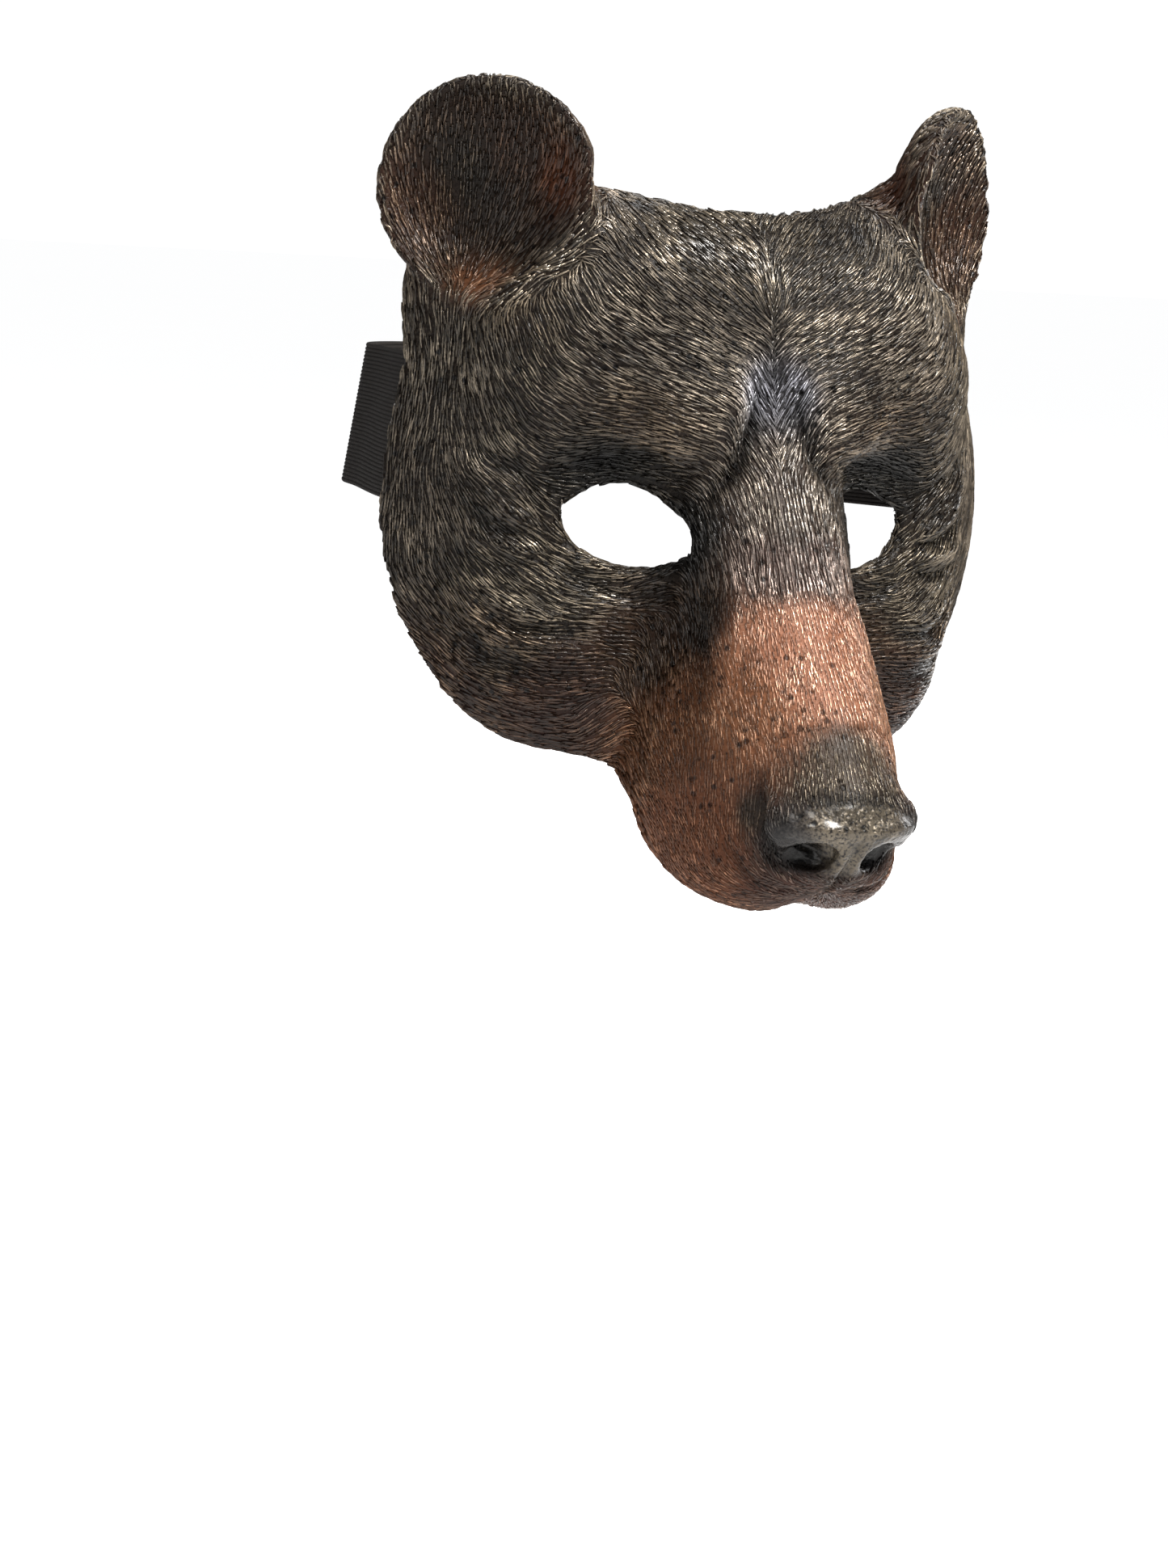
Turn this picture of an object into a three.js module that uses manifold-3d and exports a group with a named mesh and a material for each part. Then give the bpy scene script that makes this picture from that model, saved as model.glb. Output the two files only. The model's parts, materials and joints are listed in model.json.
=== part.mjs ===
// Bear half mask: one cast and painted face shell with cupped ears, held on by a wide elastic strap.
// Millimetres, +Z up, the face looks along -Y, +X is the right of the picture seen from the front.
// Everything is laid out from the middle of the eye line and then moved so that the origin is the
// place on the inner wall where the brow of the wearer bears.
import * as THREE from 'three';
import { mergeVertices } from 'three/addons/utils/BufferGeometryUtils.js';
import Module from 'manifold-3d';

const wasm = await Module();
wasm.setup();

// Face: half widths and depth of the rounded form that the shell follows.
const FACE_HALF_WIDTH = 118;
const FACE_DEPTH = 78;
const FACE_HEIGHT = 98;
const TEMPLE_EDGE_Y = 29;
const WALL = 4;

// Muzzle: from the eye line down to the upper lip.
const MUZZLE_HALF_WIDTH = 38;
const MUZZLE_REACH = 97;
const MUZZLE_DROP = 127;

// Nose pad and its two blind nostrils.
const NOSE_HALF_WIDTH = 27;
const NOSE_DEPTH = 15;
const NOSE_HEIGHT = 15;
const NOSTRIL_WIDTH = 12;
const NOSTRIL_HEIGHT = 9;
const NOSTRIL_DEPTH = 6;
const NOSTRIL_SPREAD = 10.5;

// Ears: round cups turned outwards.
const EAR_RADIUS = 37;
const EAR_DEPTH = 18;
const EAR_WALL = 5.5;
const EAR_SPREAD = 88.5;
const EAR_RISE = 99.5;
const EAR_SET_BACK = 12.5;
const EAR_TURN = 42;
const EAR_TAPER = 0.08;
const EAR_SIDES = 26;

// Eye holes: rounded openings through the wall.
const EYE_WIDTH = 44;
const EYE_HEIGHT = 28.5;
const EYE_SPREAD = 44.5;
const EYE_DROP = 6.5;
const EYE_TURN = 16;
const EYE_TILT = 7;

// Elastic strap, a loop behind the shell that runs up inside both temples.
const STRAP_WIDTH = 48;
const STRAP_THICKNESS = 1.5;
const STRAP_MIDDLE_Z = 21;
const STRAP_LAP = 24;
const STRAP_FLARE = 8;
const LOOP_HALF_WIDTH = 85.5;
const LOOP_LENGTH = 98;
const LOOP_START_Y = 86;
const FIT_GAP = 0.3;

// Seat of the brow on the inner wall, from the middle of the eye line.
const BROW_SEAT_Y = -26.5;
const BROW_SEAT_Z = 25;

// Facet sizes of the outer face and of the hollow behind it, and the shortest edge that is kept.
const OUTER_FACET = 7;
const INNER_FACET = 10;
const SHORTEST_EDGE = 0.25;

// Frames that the lobe and edge rows are written in: a row holds shares of these sizes.
const FRAMES = {
  face: { at: [0, 0, 0], size: [FACE_HALF_WIDTH, FACE_DEPTH, FACE_HEIGHT] },
  temple: { at: [0, 0, 0], size: [FACE_HALF_WIDTH, TEMPLE_EDGE_Y, FACE_HEIGHT] },
  muzzle: { at: [0, 0, 0], size: [MUZZLE_HALF_WIDTH, MUZZLE_REACH, MUZZLE_DROP] },
  nose: {
    at: [0, NOSE_DEPTH - 1.02 * MUZZLE_REACH, -0.745 * MUZZLE_DROP],
    size: [NOSE_HALF_WIDTH, NOSE_DEPTH, NOSE_HEIGHT],
  },
  ear: { at: [EAR_SPREAD, EAR_SET_BACK, EAR_RISE], size: [EAR_RADIUS, EAR_RADIUS, EAR_RADIUS] },
};

// Names the values of short table rows by their columns.
function table(columns, rows) {
  return rows.map((row) => Object.fromEntries(columns.map((column, i) => [column, row[i]])));
}

// Rounded lobes that blend into the face. A lobe off the middle is there on both sides.
// The pitch is in degrees and the blend is the reach of the fillet in millimetres.
const LOBE_COLUMNS = ['lobe', 'frame', 'x', 'y', 'z', 'rx', 'ry', 'rz', 'pitch', 'blend', 'effect'];
const LOBES = table(LOBE_COLUMNS, [
  ['skull', 'face', 0, 0.61, 0, 1, 0.92, 1.22, 0, 0, 'add'],
  ['forehead', 'face', 0, 0.08, 0.45, 0.78, 0.43, 0.56, 0, 12, 'add'],
  ['crown', 'face', 0.38, 0.15, 0.66, 0.25, 0.37, 0.31, 0, 18, 'add'],
  ['brow', 'face', 0.22, -0.15, 0.33, 0.2, 0.25, 0.22, 0, 12, 'add'],
  ['cheek', 'face', 0.44, 0.15, -0.53, 0.29, 0.33, 0.31, 0, 16, 'add'],
  ['socket', 'face', 0.42, -0.36, -0.03, 0.24, 0.25, 0.19, 0, 24, 'carve'],
  ['bridge', 'muzzle', 0, -0.22, -0.04, 0.8, 0.215, 0.24, -30, 18, 'add'],
  ['middle', 'muzzle', 0, -0.46, -0.37, 0.76, 0.23, 0.35, -33, 18, 'add'],
  ['tip', 'muzzle', 0, -0.68, -0.64, 0.72, 0.25, 0.31, -33, 12, 'add'],
  ['jowl', 'muzzle', 0.42, -0.21, -0.7, 0.78, 0.46, 0.3, 0, 20, 'add'],
  ['lip', 'muzzle', 0.38, -0.54, -0.87, 0.53, 0.27, 0.135, 0, 14, 'add'],
  ['nose', 'nose', 0, 0, 0, 1, 1, 1, 0, 5, 'add'],
]);

// The hollow stops short of the lips and of a core behind the nostrils.
const SOLID_LOBES = ['lip', 'nose'];
const NOSE_CORE = table(LOBE_COLUMNS, [['core', 'nose', 0, 0, -0.4, 1.2, 1.4, 1.5, 0, 10, 'carve']]);

// Roots of the ears, only on the outer face, that lead each cup down into the crown and the temple.
const EAR_ROOTS = table(LOBE_COLUMNS, [
  ['crown side', 'ear', -0.54, 0.2, -0.3, 0.42, 0.37, 0.5, 0, 24, 'add'],
  ['temple side', 'ear', 0.12, 0.55, -0.9, 0.33, 0.38, 0.54, 0, 14, 'add'],
]);

// Edge of the shell seen from the side, from above the ears down to the lip.
const EDGE = table(['frame', 'y', 'z'], [
  ['temple', 0.8, 2],
  ['temple', 1.16, 1.05],
  ['temple', 1.34, 0.77],
  ['temple', 1.13, 0.51],
  ['temple', 1, 0.2],
  ['temple', 1, -0.2],
  ['temple', 0.89, -0.51],
  ['temple', 0.65, -0.7],
  ['temple', 0.22, -0.82],
  ['temple', -0.48, -0.87],
  ['muzzle', -0.26, -0.74],
  ['muzzle', -0.32, -0.86],
  ['muzzle', -0.43, -0.945],
  ['muzzle', -0.59, -0.99],
  ['muzzle', -0.67, -1.05],
  ['muzzle', -0.68, -1.3],
]);

// Eye hole seen from the front, outer corner first, as shares of half its width and height.
const EYE_OUTLINE = table(['across', 'up'], [
  [1, 0.1],
  [0.72, 0.66],
  [0.2, 1],
  [-0.45, 0.8],
  [-0.92, 0.2],
  [-0.95, -0.45],
  [-0.5, -0.92],
  [0.2, -0.95],
  [0.75, -0.6],
]);

// Rounded bite out of the crown between the ears.
const CROWN_CUT_HALF_WIDTH = 0.82 * EAR_SPREAD;
const CROWN_CUT_Y = -3;

const degrees = THREE.MathUtils.degToRad;

// Distance to an ellipsoid, close to true near its surface.
function ellipsoidDistance(x, y, z, rx, ry, rz) {
  const k0 = Math.hypot(x / rx, y / ry, z / rz);
  const k1 = Math.hypot(x / (rx * rx), y / (ry * ry), z / (rz * rz));
  return k1 < 1e-9 ? -Math.min(rx, ry, rz) : (k0 * (k0 - 1)) / k1;
}

// Real sizes of a lobe row, with the sine and cosine of its pitch.
function sized(lobe) {
  const { at, size } = FRAMES[lobe.frame];
  return {
    centre: [at[0] + lobe.x * size[0], at[1] + lobe.y * size[1], at[2] + lobe.z * size[2]],
    radii: [lobe.rx * size[0], lobe.ry * size[1], lobe.rz * size[2]],
    sin: Math.sin(degrees(lobe.pitch)),
    cos: Math.cos(degrees(lobe.pitch)),
    blend: lobe.blend,
    carve: lobe.effect === 'carve',
  };
}

// Smooth minimum of two distances with a fillet of the given reach.
function smoothMin(a, b, reach) {
  if (reach <= 0) return Math.min(a, b);
  const h = Math.max(reach - Math.abs(a - b), 0) / reach;
  return Math.min(a, b) - (h * h * reach) / 4;
}

// Field of a list of lobes, negative inside, mirrored about the middle plane.
function lobeField(lobes) {
  const list = lobes.map(sized);
  return (px, py, pz) => {
    let value = 1e3;
    for (const lobe of list) {
      const x = Math.abs(px) - lobe.centre[0];
      const dy = py - lobe.centre[1];
      const dz = pz - lobe.centre[2];
      const y = lobe.cos * dy + lobe.sin * dz;
      const z = -lobe.sin * dy + lobe.cos * dz;
      const d = ellipsoidDistance(x, y, z, ...lobe.radii);
      value = lobe.carve ? -smoothMin(-value, d, lobe.blend) : smoothMin(value, d, lobe.blend);
    }
    return value;
  };
}

// Slope of a field at a point, from its values a twentieth of a millimetre to each side.
function slope(field, x, y, z) {
  const e = 0.05;
  return [
    (field(x + e, y, z) - field(x - e, y, z)) / (2 * e),
    (field(x, y + e, z) - field(x, y - e, z)) / (2 * e),
    (field(x, y, z + e) - field(x, y, z - e)) / (2 * e),
  ];
}

// Field of the same form made smaller by a wall, square to its surface.
function inset(field, wall) {
  return (x, y, z) => field(x, y, z) + wall * Math.hypot(...slope(field, x, y, z));
}

// Closed surface of a field: one point in each grid cell that it crosses, moved onto the surface,
// and two triangles over each grid edge that it crosses.
function fieldGeometry(field, low, high, step) {
  const count = low.map((v, i) => Math.ceil((high[i] - v) / step) + 1);
  const [nx, ny, nz] = count;
  const at = (i, j, k) => (k * ny + j) * nx + i;
  const place = (i, j, k) => [low[0] + i * step, low[1] + j * step, low[2] + k * step];
  const value = new Float64Array(nx * ny * nz);
  for (let k = 0; k < nz; k += 1) {
    for (let j = 0; j < ny; j += 1) {
      for (let i = 0; i < nx; i += 1) {
        value[at(i, j, k)] = field(...place(i, j, k));
      }
    }
  }
  const points = [];
  const cellPoint = new Map();
  const corners = [0, 1, 2, 3, 4, 5, 6, 7].map((c) => [c & 1, (c >> 1) & 1, (c >> 2) & 1]);
  const edges = [];
  for (let a = 0; a < 8; a += 1) {
    for (const bit of [1, 2, 4]) {
      if (!(a & bit)) edges.push([a, a | bit]);
    }
  }
  for (let k = 0; k < nz - 1; k += 1) {
    for (let j = 0; j < ny - 1; j += 1) {
      for (let i = 0; i < nx - 1; i += 1) {
        const v = corners.map(([a, b, c]) => value[at(i + a, j + b, k + c)]);
        const sum = [0, 0, 0];
        let hits = 0;
        for (const [a, b] of edges) {
          if (v[a] < 0 === v[b] < 0) continue;
          const t = v[a] / (v[a] - v[b]);
          for (let axis = 0; axis < 3; axis += 1) {
            sum[axis] += corners[a][axis] + t * (corners[b][axis] - corners[a][axis]);
          }
          hits += 1;
        }
        if (!hits) continue;
        let p = place(i, j, k).map((base, axis) => base + (sum[axis] / hits) * step);
        for (let turn = 0; turn < 3; turn += 1) {
          const g = slope(field, ...p);
          const f = field(...p);
          const steep = g[0] ** 2 + g[1] ** 2 + g[2] ** 2 + 1e-9;
          const scale = THREE.MathUtils.clamp(f / steep, -step / 3, step / 3);
          p = p.map((x, axis) => x - scale * g[axis]);
        }
        cellPoint.set(at(i, j, k), points.length / 3);
        points.push(...p);
      }
    }
  }
  const triangles = [];
  const distance = (a, b) => Math.hypot(
    points[3 * a] - points[3 * b],
    points[3 * a + 1] - points[3 * b + 1],
    points[3 * a + 2] - points[3 * b + 2],
  );
  const quad = (a, b, c, d, flip) => {
    const ring = flip ? [d, c, b, a] : [a, b, c, d];
    const [p, q, r, s] = ring;
    if (distance(p, r) <= distance(q, s)) triangles.push(p, q, r, p, r, s);
    else triangles.push(q, r, s, q, s, p);
  };
  for (let k = 1; k < nz - 1; k += 1) {
    for (let j = 1; j < ny - 1; j += 1) {
      for (let i = 1; i < nx - 1; i += 1) {
        const here = value[at(i, j, k)] < 0;
        const cell = (a, b, c) => cellPoint.get(at(i + a, j + b, k + c));
        if (here !== value[at(i + 1, j, k)] < 0) {
          quad(cell(0, -1, -1), cell(0, 0, -1), cell(0, 0, 0), cell(0, -1, 0), !here);
        }
        if (here !== value[at(i, j + 1, k)] < 0) {
          quad(cell(-1, 0, -1), cell(-1, 0, 0), cell(0, 0, 0), cell(0, 0, -1), !here);
        }
        if (here !== value[at(i, j, k + 1)] < 0) {
          quad(cell(-1, -1, 0), cell(0, -1, 0), cell(0, 0, 0), cell(-1, 0, 0), !here);
        }
      }
    }
  }
  const geometry = new THREE.BufferGeometry();
  geometry.setAttribute('position', new THREE.Float32BufferAttribute(points, 3));
  geometry.setIndex(triangles);
  return geometry;
}

// Solid from a closed geometry, with shared points merged.
function solidOf(geometry) {
  const bare = geometry.clone();
  bare.deleteAttribute('normal');
  bare.deleteAttribute('uv');
  const merged = mergeVertices(bare, 1e-4);
  const mesh = new wasm.Mesh({
    numProp: 3,
    vertProperties: new Float32Array(merged.attributes.position.array),
    triVerts: new Uint32Array(merged.index.array),
  });
  return new wasm.Manifold(mesh);
}

// Points that each point shares an edge with.
function neighbours(triangles) {
  const near = new Map();
  for (const triangle of triangles) {
    for (let i = 0; i < 3; i += 1) {
      if (!near.has(triangle[i])) near.set(triangle[i], new Set());
      near.get(triangle[i]).add(triangle[(i + 1) % 3]).add(triangle[(i + 2) % 3]);
    }
  }
  return near;
}

// Merges the ends of edges shorter than a limit, where that keeps the surface closed.
function mergeShortEdges(points, triangles, limit) {
  const near = neighbours(triangles);
  const target = new Map();
  const settled = new Set();
  for (const [a, ring] of near) {
    for (const b of ring) {
      if (a > b || settled.has(a) || settled.has(b) || points[a].distanceTo(points[b]) > limit) continue;
      const shared = [...ring].filter((c) => near.get(b).has(c));
      if (shared.length !== 2) continue;
      points[a].lerp(points[b], 0.5);
      target.set(b, a);
      for (const c of [a, b, ...ring, ...near.get(b)]) settled.add(c);
    }
  }
  return triangles
    .map((triangle) => triangle.map((i) => target.get(i) ?? i))
    .filter(([a, b, c]) => a !== b && b !== c && c !== a);
}

// Turns the long edge of each triangle thinner than a limit over to the opposite corners.
function turnThinEdges(points, triangles, limit) {
  const near = neighbours(triangles);
  const owner = new Map();
  triangles.forEach(([a, b, c], t) => {
    owner.set(`${a},${b}`, t);
    owner.set(`${b},${c}`, t);
    owner.set(`${c},${a}`, t);
  });
  const settled = new Set();
  triangles.forEach((triangle, t) => {
    if (triangle.some((v) => settled.has(v))) return;
    const lengths = triangle.map((v, i) => points[v].distanceTo(points[triangle[(i + 1) % 3]]));
    const i = lengths.indexOf(Math.max(...lengths));
    const [a, b, c] = [triangle[i], triangle[(i + 1) % 3], triangle[(i + 2) % 3]];
    const face = new THREE.Triangle(points[a], points[b], points[c]);
    if ((2 * face.getArea()) / lengths[i] > limit) return;
    const other = owner.get(`${b},${a}`);
    const d = triangles[other].find((v) => v !== a && v !== b);
    if (near.get(c).has(d) || settled.has(d)) return;
    triangles[t] = [a, d, c];
    triangles[other] = [d, b, c];
    for (const v of [a, b, c, d]) settled.add(v);
  });
  return triangles;
}

// Geometry of a solid, without the needle triangles that cuts leave behind.
function geometryOf(solid) {
  const mesh = solid.getMesh();
  const values = mesh.vertProperties;
  const points = [];
  for (let i = 0; i < values.length; i += 3) {
    points.push(new THREE.Vector3(values[i], values[i + 1], values[i + 2]));
  }
  let triangles = [];
  for (let i = 0; i < mesh.triVerts.length; i += 3) {
    triangles.push(Array.from(mesh.triVerts.slice(i, i + 3)));
  }
  for (let turn = 0; turn < 6; turn += 1) {
    triangles = mergeShortEdges(points, triangles, SHORTEST_EDGE);
    triangles = turnThinEdges(points, triangles, SHORTEST_EDGE / 4);
  }
  const used = [...new Set(triangles.flat())];
  const place = new Map(used.map((v, i) => [v, i]));
  const geometry = new THREE.BufferGeometry();
  const flat = used.flatMap((v) => points[v].toArray());
  geometry.setAttribute('position', new THREE.Float32BufferAttribute(flat, 3));
  geometry.setIndex(triangles.flat().map((v) => place.get(v)));
  geometry.computeVertexNormals();
  return geometry;
}

// A shape drawn in the side view, y across and z up, drawn out along X to both sides.
function sideSolid(shape, halfWidth) {
  const geometry = new THREE.ExtrudeGeometry(shape, { depth: 2 * halfWidth, bevelEnabled: false });
  geometry.translate(0, 0, -halfWidth);
  geometry.applyMatrix4(new THREE.Matrix4().set(0, 0, 1, 0, 1, 0, 0, 0, 0, 1, 0, 0, 0, 0, 0, 1));
  return solidOf(geometry);
}

// Everything behind the edge of the shell.
function edgeCutter() {
  const points = EDGE.map((row) => {
    const { at, size } = FRAMES[row.frame];
    return new THREE.Vector2(at[1] + row.y * size[1], at[2] + row.z * size[2]);
  });
  const line = new THREE.SplineCurve(points).getPoints(4 * EDGE.length);
  const back = 3 * FACE_DEPTH;
  const shape = new THREE.Shape(line);
  shape.lineTo(back, line[line.length - 1].y);
  shape.lineTo(back, line[0].y);
  return sideSolid(shape, 2 * FACE_HALF_WIDTH);
}

// Rounded bite out of the crown between the ears, seen from above.
function crownCutter() {
  const shape = new THREE.Shape();
  const depth = FACE_DEPTH;
  shape.absellipse(0, CROWN_CUT_Y + depth, CROWN_CUT_HALF_WIDTH, depth, 0, 2 * Math.PI);
  const options = { depth: FACE_HEIGHT, bevelEnabled: false, curveSegments: 20 };
  const geometry = new THREE.ExtrudeGeometry(shape, options);
  geometry.translate(0, 0, 0.6 * FACE_HEIGHT);
  return solidOf(geometry);
}

// Profile of radius and height turned about the Y axis.
function turned(profile) {
  return new THREE.LatheGeometry(profile.map(([r, h]) => new THREE.Vector2(r, h)), EAR_SIDES);
}

// Puts a geometry made round the +Y axis onto the ear of one side, narrower below and facing outwards.
function placeOnEar(geometry, side) {
  geometry.rotateX(Math.PI);
  const position = geometry.attributes.position;
  for (let i = 0; i < position.count; i += 1) {
    const below = Math.max(0, -position.getZ(i) / EAR_RADIUS);
    position.setX(i, position.getX(i) * (1 - EAR_TAPER * below * below));
  }
  geometry.rotateZ(side * degrees(EAR_TURN));
  geometry.translate(side * EAR_SPREAD, EAR_SET_BACK, EAR_RISE);
  return geometry;
}

// Quarter of an ellipse from the axis at the back to the rim, as radius and height.
function bowlArc(radius, depth, steps) {
  return Array.from({ length: steps + 1 }, (_, i) => {
    const angle = ((i / steps) * Math.PI) / 2;
    return [radius * Math.sin(angle), -depth * Math.cos(angle)];
  });
}

// Full ear bowl, filled, with a rounded lip that stands out in front of the rim plane.
function earBowl(side) {
  const lip = EAR_WALL / 2;
  const profile = [
    ...bowlArc(EAR_RADIUS, EAR_DEPTH, 7),
    [EAR_RADIUS - 0.3 * lip, 0.7 * lip],
    [EAR_RADIUS - lip, lip],
    [EAR_RADIUS - 1.7 * lip, 0.7 * lip],
    [EAR_RADIUS - 2 * lip, 0],
    [0, 0],
  ];
  return solidOf(placeOnEar(turned(profile), side));
}

// Hollow of the ear cup, carried on forward to clear the brow in front of it.
function earHollow(side) {
  const radius = EAR_RADIUS - EAR_WALL;
  const profile = [
    ...bowlArc(radius, EAR_DEPTH - EAR_WALL, 6),
    [radius, EAR_RADIUS],
    [0, EAR_RADIUS],
  ];
  return solidOf(placeOnEar(turned(profile), side));
}

// Cutter of one eye hole, square to the face at the eye.
function eyeCutter(side) {
  const points = EYE_OUTLINE.map((row) => (
    new THREE.Vector2((row.across * EYE_WIDTH) / 2, (row.up * EYE_HEIGHT) / 2)
  ));
  const curve = new THREE.CatmullRomCurve3(points.map((p) => new THREE.Vector3(p.x, p.y, 0)), true);
  const outline = curve.getPoints(28).slice(0, -1).map((p) => new THREE.Vector2(side * p.x, p.y));
  const options = { depth: FACE_DEPTH, bevelEnabled: false };
  const geometry = new THREE.ExtrudeGeometry(new THREE.Shape(outline), options);
  geometry.translate(0, 0, -FACE_DEPTH / 2);
  geometry.rotateZ(side * degrees(EYE_TILT));
  geometry.rotateX(Math.PI / 2);
  geometry.rotateZ(side * degrees(EYE_TURN));
  geometry.translate(side * EYE_SPREAD, -0.15 * FACE_DEPTH, -EYE_DROP);
  return solidOf(geometry);
}

const faceField = lobeField(LOBES);
const outerField = lobeField([...LOBES, ...EAR_ROOTS]);
const hollowLobes = [...LOBES.filter((row) => !SOLID_LOBES.includes(row.lobe)), ...NOSE_CORE];
const hollowField = inset(lobeField(hollowLobes), WALL);

// How far the flat facets of the hollow stand inside its true wall.
const FACET_SAG = (INNER_FACET * INNER_FACET) / (2 * FACE_HALF_WIDTH);

// Grid box round the face, capped flat behind.
const BACK_Y = 0.85 * FACE_DEPTH;
const capped = (field) => (x, y, z) => Math.max(field(x, y, z), y - BACK_Y);

function gridBox(step) {
  const half = Math.ceil((1.12 * FACE_HALF_WIDTH) / step) * step;
  return [
    [-half, -1.2 * MUZZLE_REACH, -1.12 * MUZZLE_DROP],
    [half, BACK_Y + 2 * step, EAR_RISE + EAR_RADIUS],
  ];
}

// Deepest place of one nostril on the face of the nose.
function nostril(side) {
  const { at, size } = FRAMES.nose;
  const geometry = new THREE.SphereGeometry(1, 14, 10);
  geometry.scale(NOSTRIL_WIDTH / 2, NOSTRIL_DEPTH, NOSTRIL_HEIGHT / 2);
  geometry.rotateX(degrees(35));
  geometry.translate(side * NOSTRIL_SPREAD, at[1] - 0.55 * size[1], at[2] - 0.62 * size[2]);
  return solidOf(geometry);
}

// The whole cast shell: the blank is trimmed first, so that the ears stay whole.
function maskShell() {
  const blank = solidOf(fieldGeometry(capped(outerField), ...gridBox(OUTER_FACET), OUTER_FACET));
  const hollow = solidOf(fieldGeometry(capped(hollowField), ...gridBox(INNER_FACET), INNER_FACET));
  const floorField = capped(inset(faceField, WALL / 4));
  const floor = solidOf(fieldGeometry(floorField, ...gridBox(INNER_FACET), INNER_FACET));
  let solid = blank.subtract(edgeCutter()).subtract(crownCutter());
  for (const side of [-1, 1]) solid = solid.add(earBowl(side));
  solid = solid.subtract(hollow);
  for (const side of [-1, 1]) {
    solid = solid.subtract(earHollow(side).subtract(floor));
    solid = solid.subtract(eyeCutter(side)).subtract(nostril(side));
  }
  return geometryOf(solid);
}

// Place of the inner wall on the right side at one depth and height, by halving the distance.
function wallX(y, z) {
  let inside = 0;
  let outside = 1.2 * FACE_HALF_WIDTH;
  for (let turn = 0; turn < 40; turn += 1) {
    const middle = (inside + outside) / 2;
    if (hollowField(middle, y, z) < 0) inside = middle;
    else outside = middle;
  }
  return inside;
}

// Middle line of the strap at one height: along the inner wall of one temple, round behind the shell
// and along the other temple.
function strapLine(z) {
  const offset = FIT_GAP + FACET_SAG + STRAP_THICKNESS / 2;
  const share = (STRAP_MIDDLE_Z - z) / STRAP_WIDTH;
  const half = LOOP_HALF_WIDTH + share * STRAP_FLARE;
  const right = [];
  for (let i = 0; i <= 4; i += 1) {
    const y = TEMPLE_EDGE_Y - STRAP_LAP * (1 - i / 4);
    const e = 0.5;
    const lean = (wallX(y + e, z) - wallX(y - e, z)) / (2 * e);
    const length = Math.hypot(1, lean);
    right.push([wallX(y, z) - offset / length, y + (offset * lean) / length]);
  }
  for (let i = 0; i <= 6; i += 1) {
    const angle = degrees(10 + 80 * (i / 6));
    right.push([half * Math.cos(angle), LOOP_START_Y + LOOP_LENGTH * Math.sin(angle)]);
  }
  const left = right.slice(0, -1).map(([x, y]) => [-x, y]).reverse();
  const points = [...right, ...left].map(([x, y]) => new THREE.Vector3(x, y, z));
  return new THREE.CatmullRomCurve3(points, false, 'centripetal');
}

// Woven band with square edges, closed all round.
function headStrap() {
  const stations = 60;
  const rows = 2;
  const lines = [];
  for (let row = 0; row <= rows; row += 1) {
    const z = STRAP_MIDDLE_Z + STRAP_WIDTH * (row / rows - 0.5);
    const curve = strapLine(z);
    lines.push(Array.from({ length: stations + 1 }, (_, i) => {
      const point = curve.getPointAt(i / stations);
      const tangent = curve.getTangentAt(i / stations);
      const out = new THREE.Vector3(tangent.y, -tangent.x, 0).setLength(STRAP_THICKNESS / 2);
      return [point.clone().add(out), point.clone().sub(out)];
    }));
  }
  const ring = [
    ...lines.map((_, row) => [row, 0]),
    ...lines.map((_, row) => [rows - row, 1]),
  ];
  const points = [];
  for (let i = 0; i <= stations; i += 1) {
    for (const [row, face] of ring) points.push(...lines[row][i][face].toArray());
  }
  const size = ring.length;
  const triangles = [];
  for (let i = 0; i < stations; i += 1) {
    for (let j = 0; j < size; j += 1) {
      const a = i * size + j;
      const b = i * size + ((j + 1) % size);
      triangles.push(a, a + size, b, b, a + size, b + size);
    }
  }
  for (let j = 1; j < size - 1; j += 1) {
    triangles.push(0, j, j + 1);
    const last = stations * size;
    triangles.push(last, last + j + 1, last + j);
  }
  const geometry = new THREE.BufferGeometry();
  geometry.setAttribute('position', new THREE.Float32BufferAttribute(points, 3));
  geometry.setIndex(triangles);
  return geometry;
}

// Material: base colour, roughness and metalness.
function material(color, roughness, metalness) {
  return new THREE.MeshStandardMaterial({ color, roughness, metalness });
}

// Named mesh, moved so that the seat of the brow is the origin.
function node(name, geometry, look) {
  const mesh = new THREE.Mesh(geometry, look);
  mesh.name = name;
  mesh.position.set(0, -BROW_SEAT_Y, -BROW_SEAT_Z);
  return mesh;
}

const mask = new THREE.Group();
mask.add(node('mask_shell', maskShell(), material(0x3a2a22, 0.5, 0)));
mask.add(node('head_strap', headStrap(), material(0x17120f, 0.85, 0)));

export default mask;
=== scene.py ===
"""Bear half mask: a cast shell with carved fur, painted and dry-brushed, on a wide ribbed elastic strap.

Sizes in the tables are in millimetres in the part's own frame, and meshes are made in metres.
The mask is the same on both sides, so tables hold one side and are read with the distance from the
middle plane.
"""

import json
import logging
import math
from collections.abc import Iterator
from contextlib import contextmanager
from dataclasses import dataclass, field
from enum import Enum

import bpy
import numpy as np
from mathutils import Matrix, Vector
from mathutils.bvhtree import BVHTree

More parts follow.
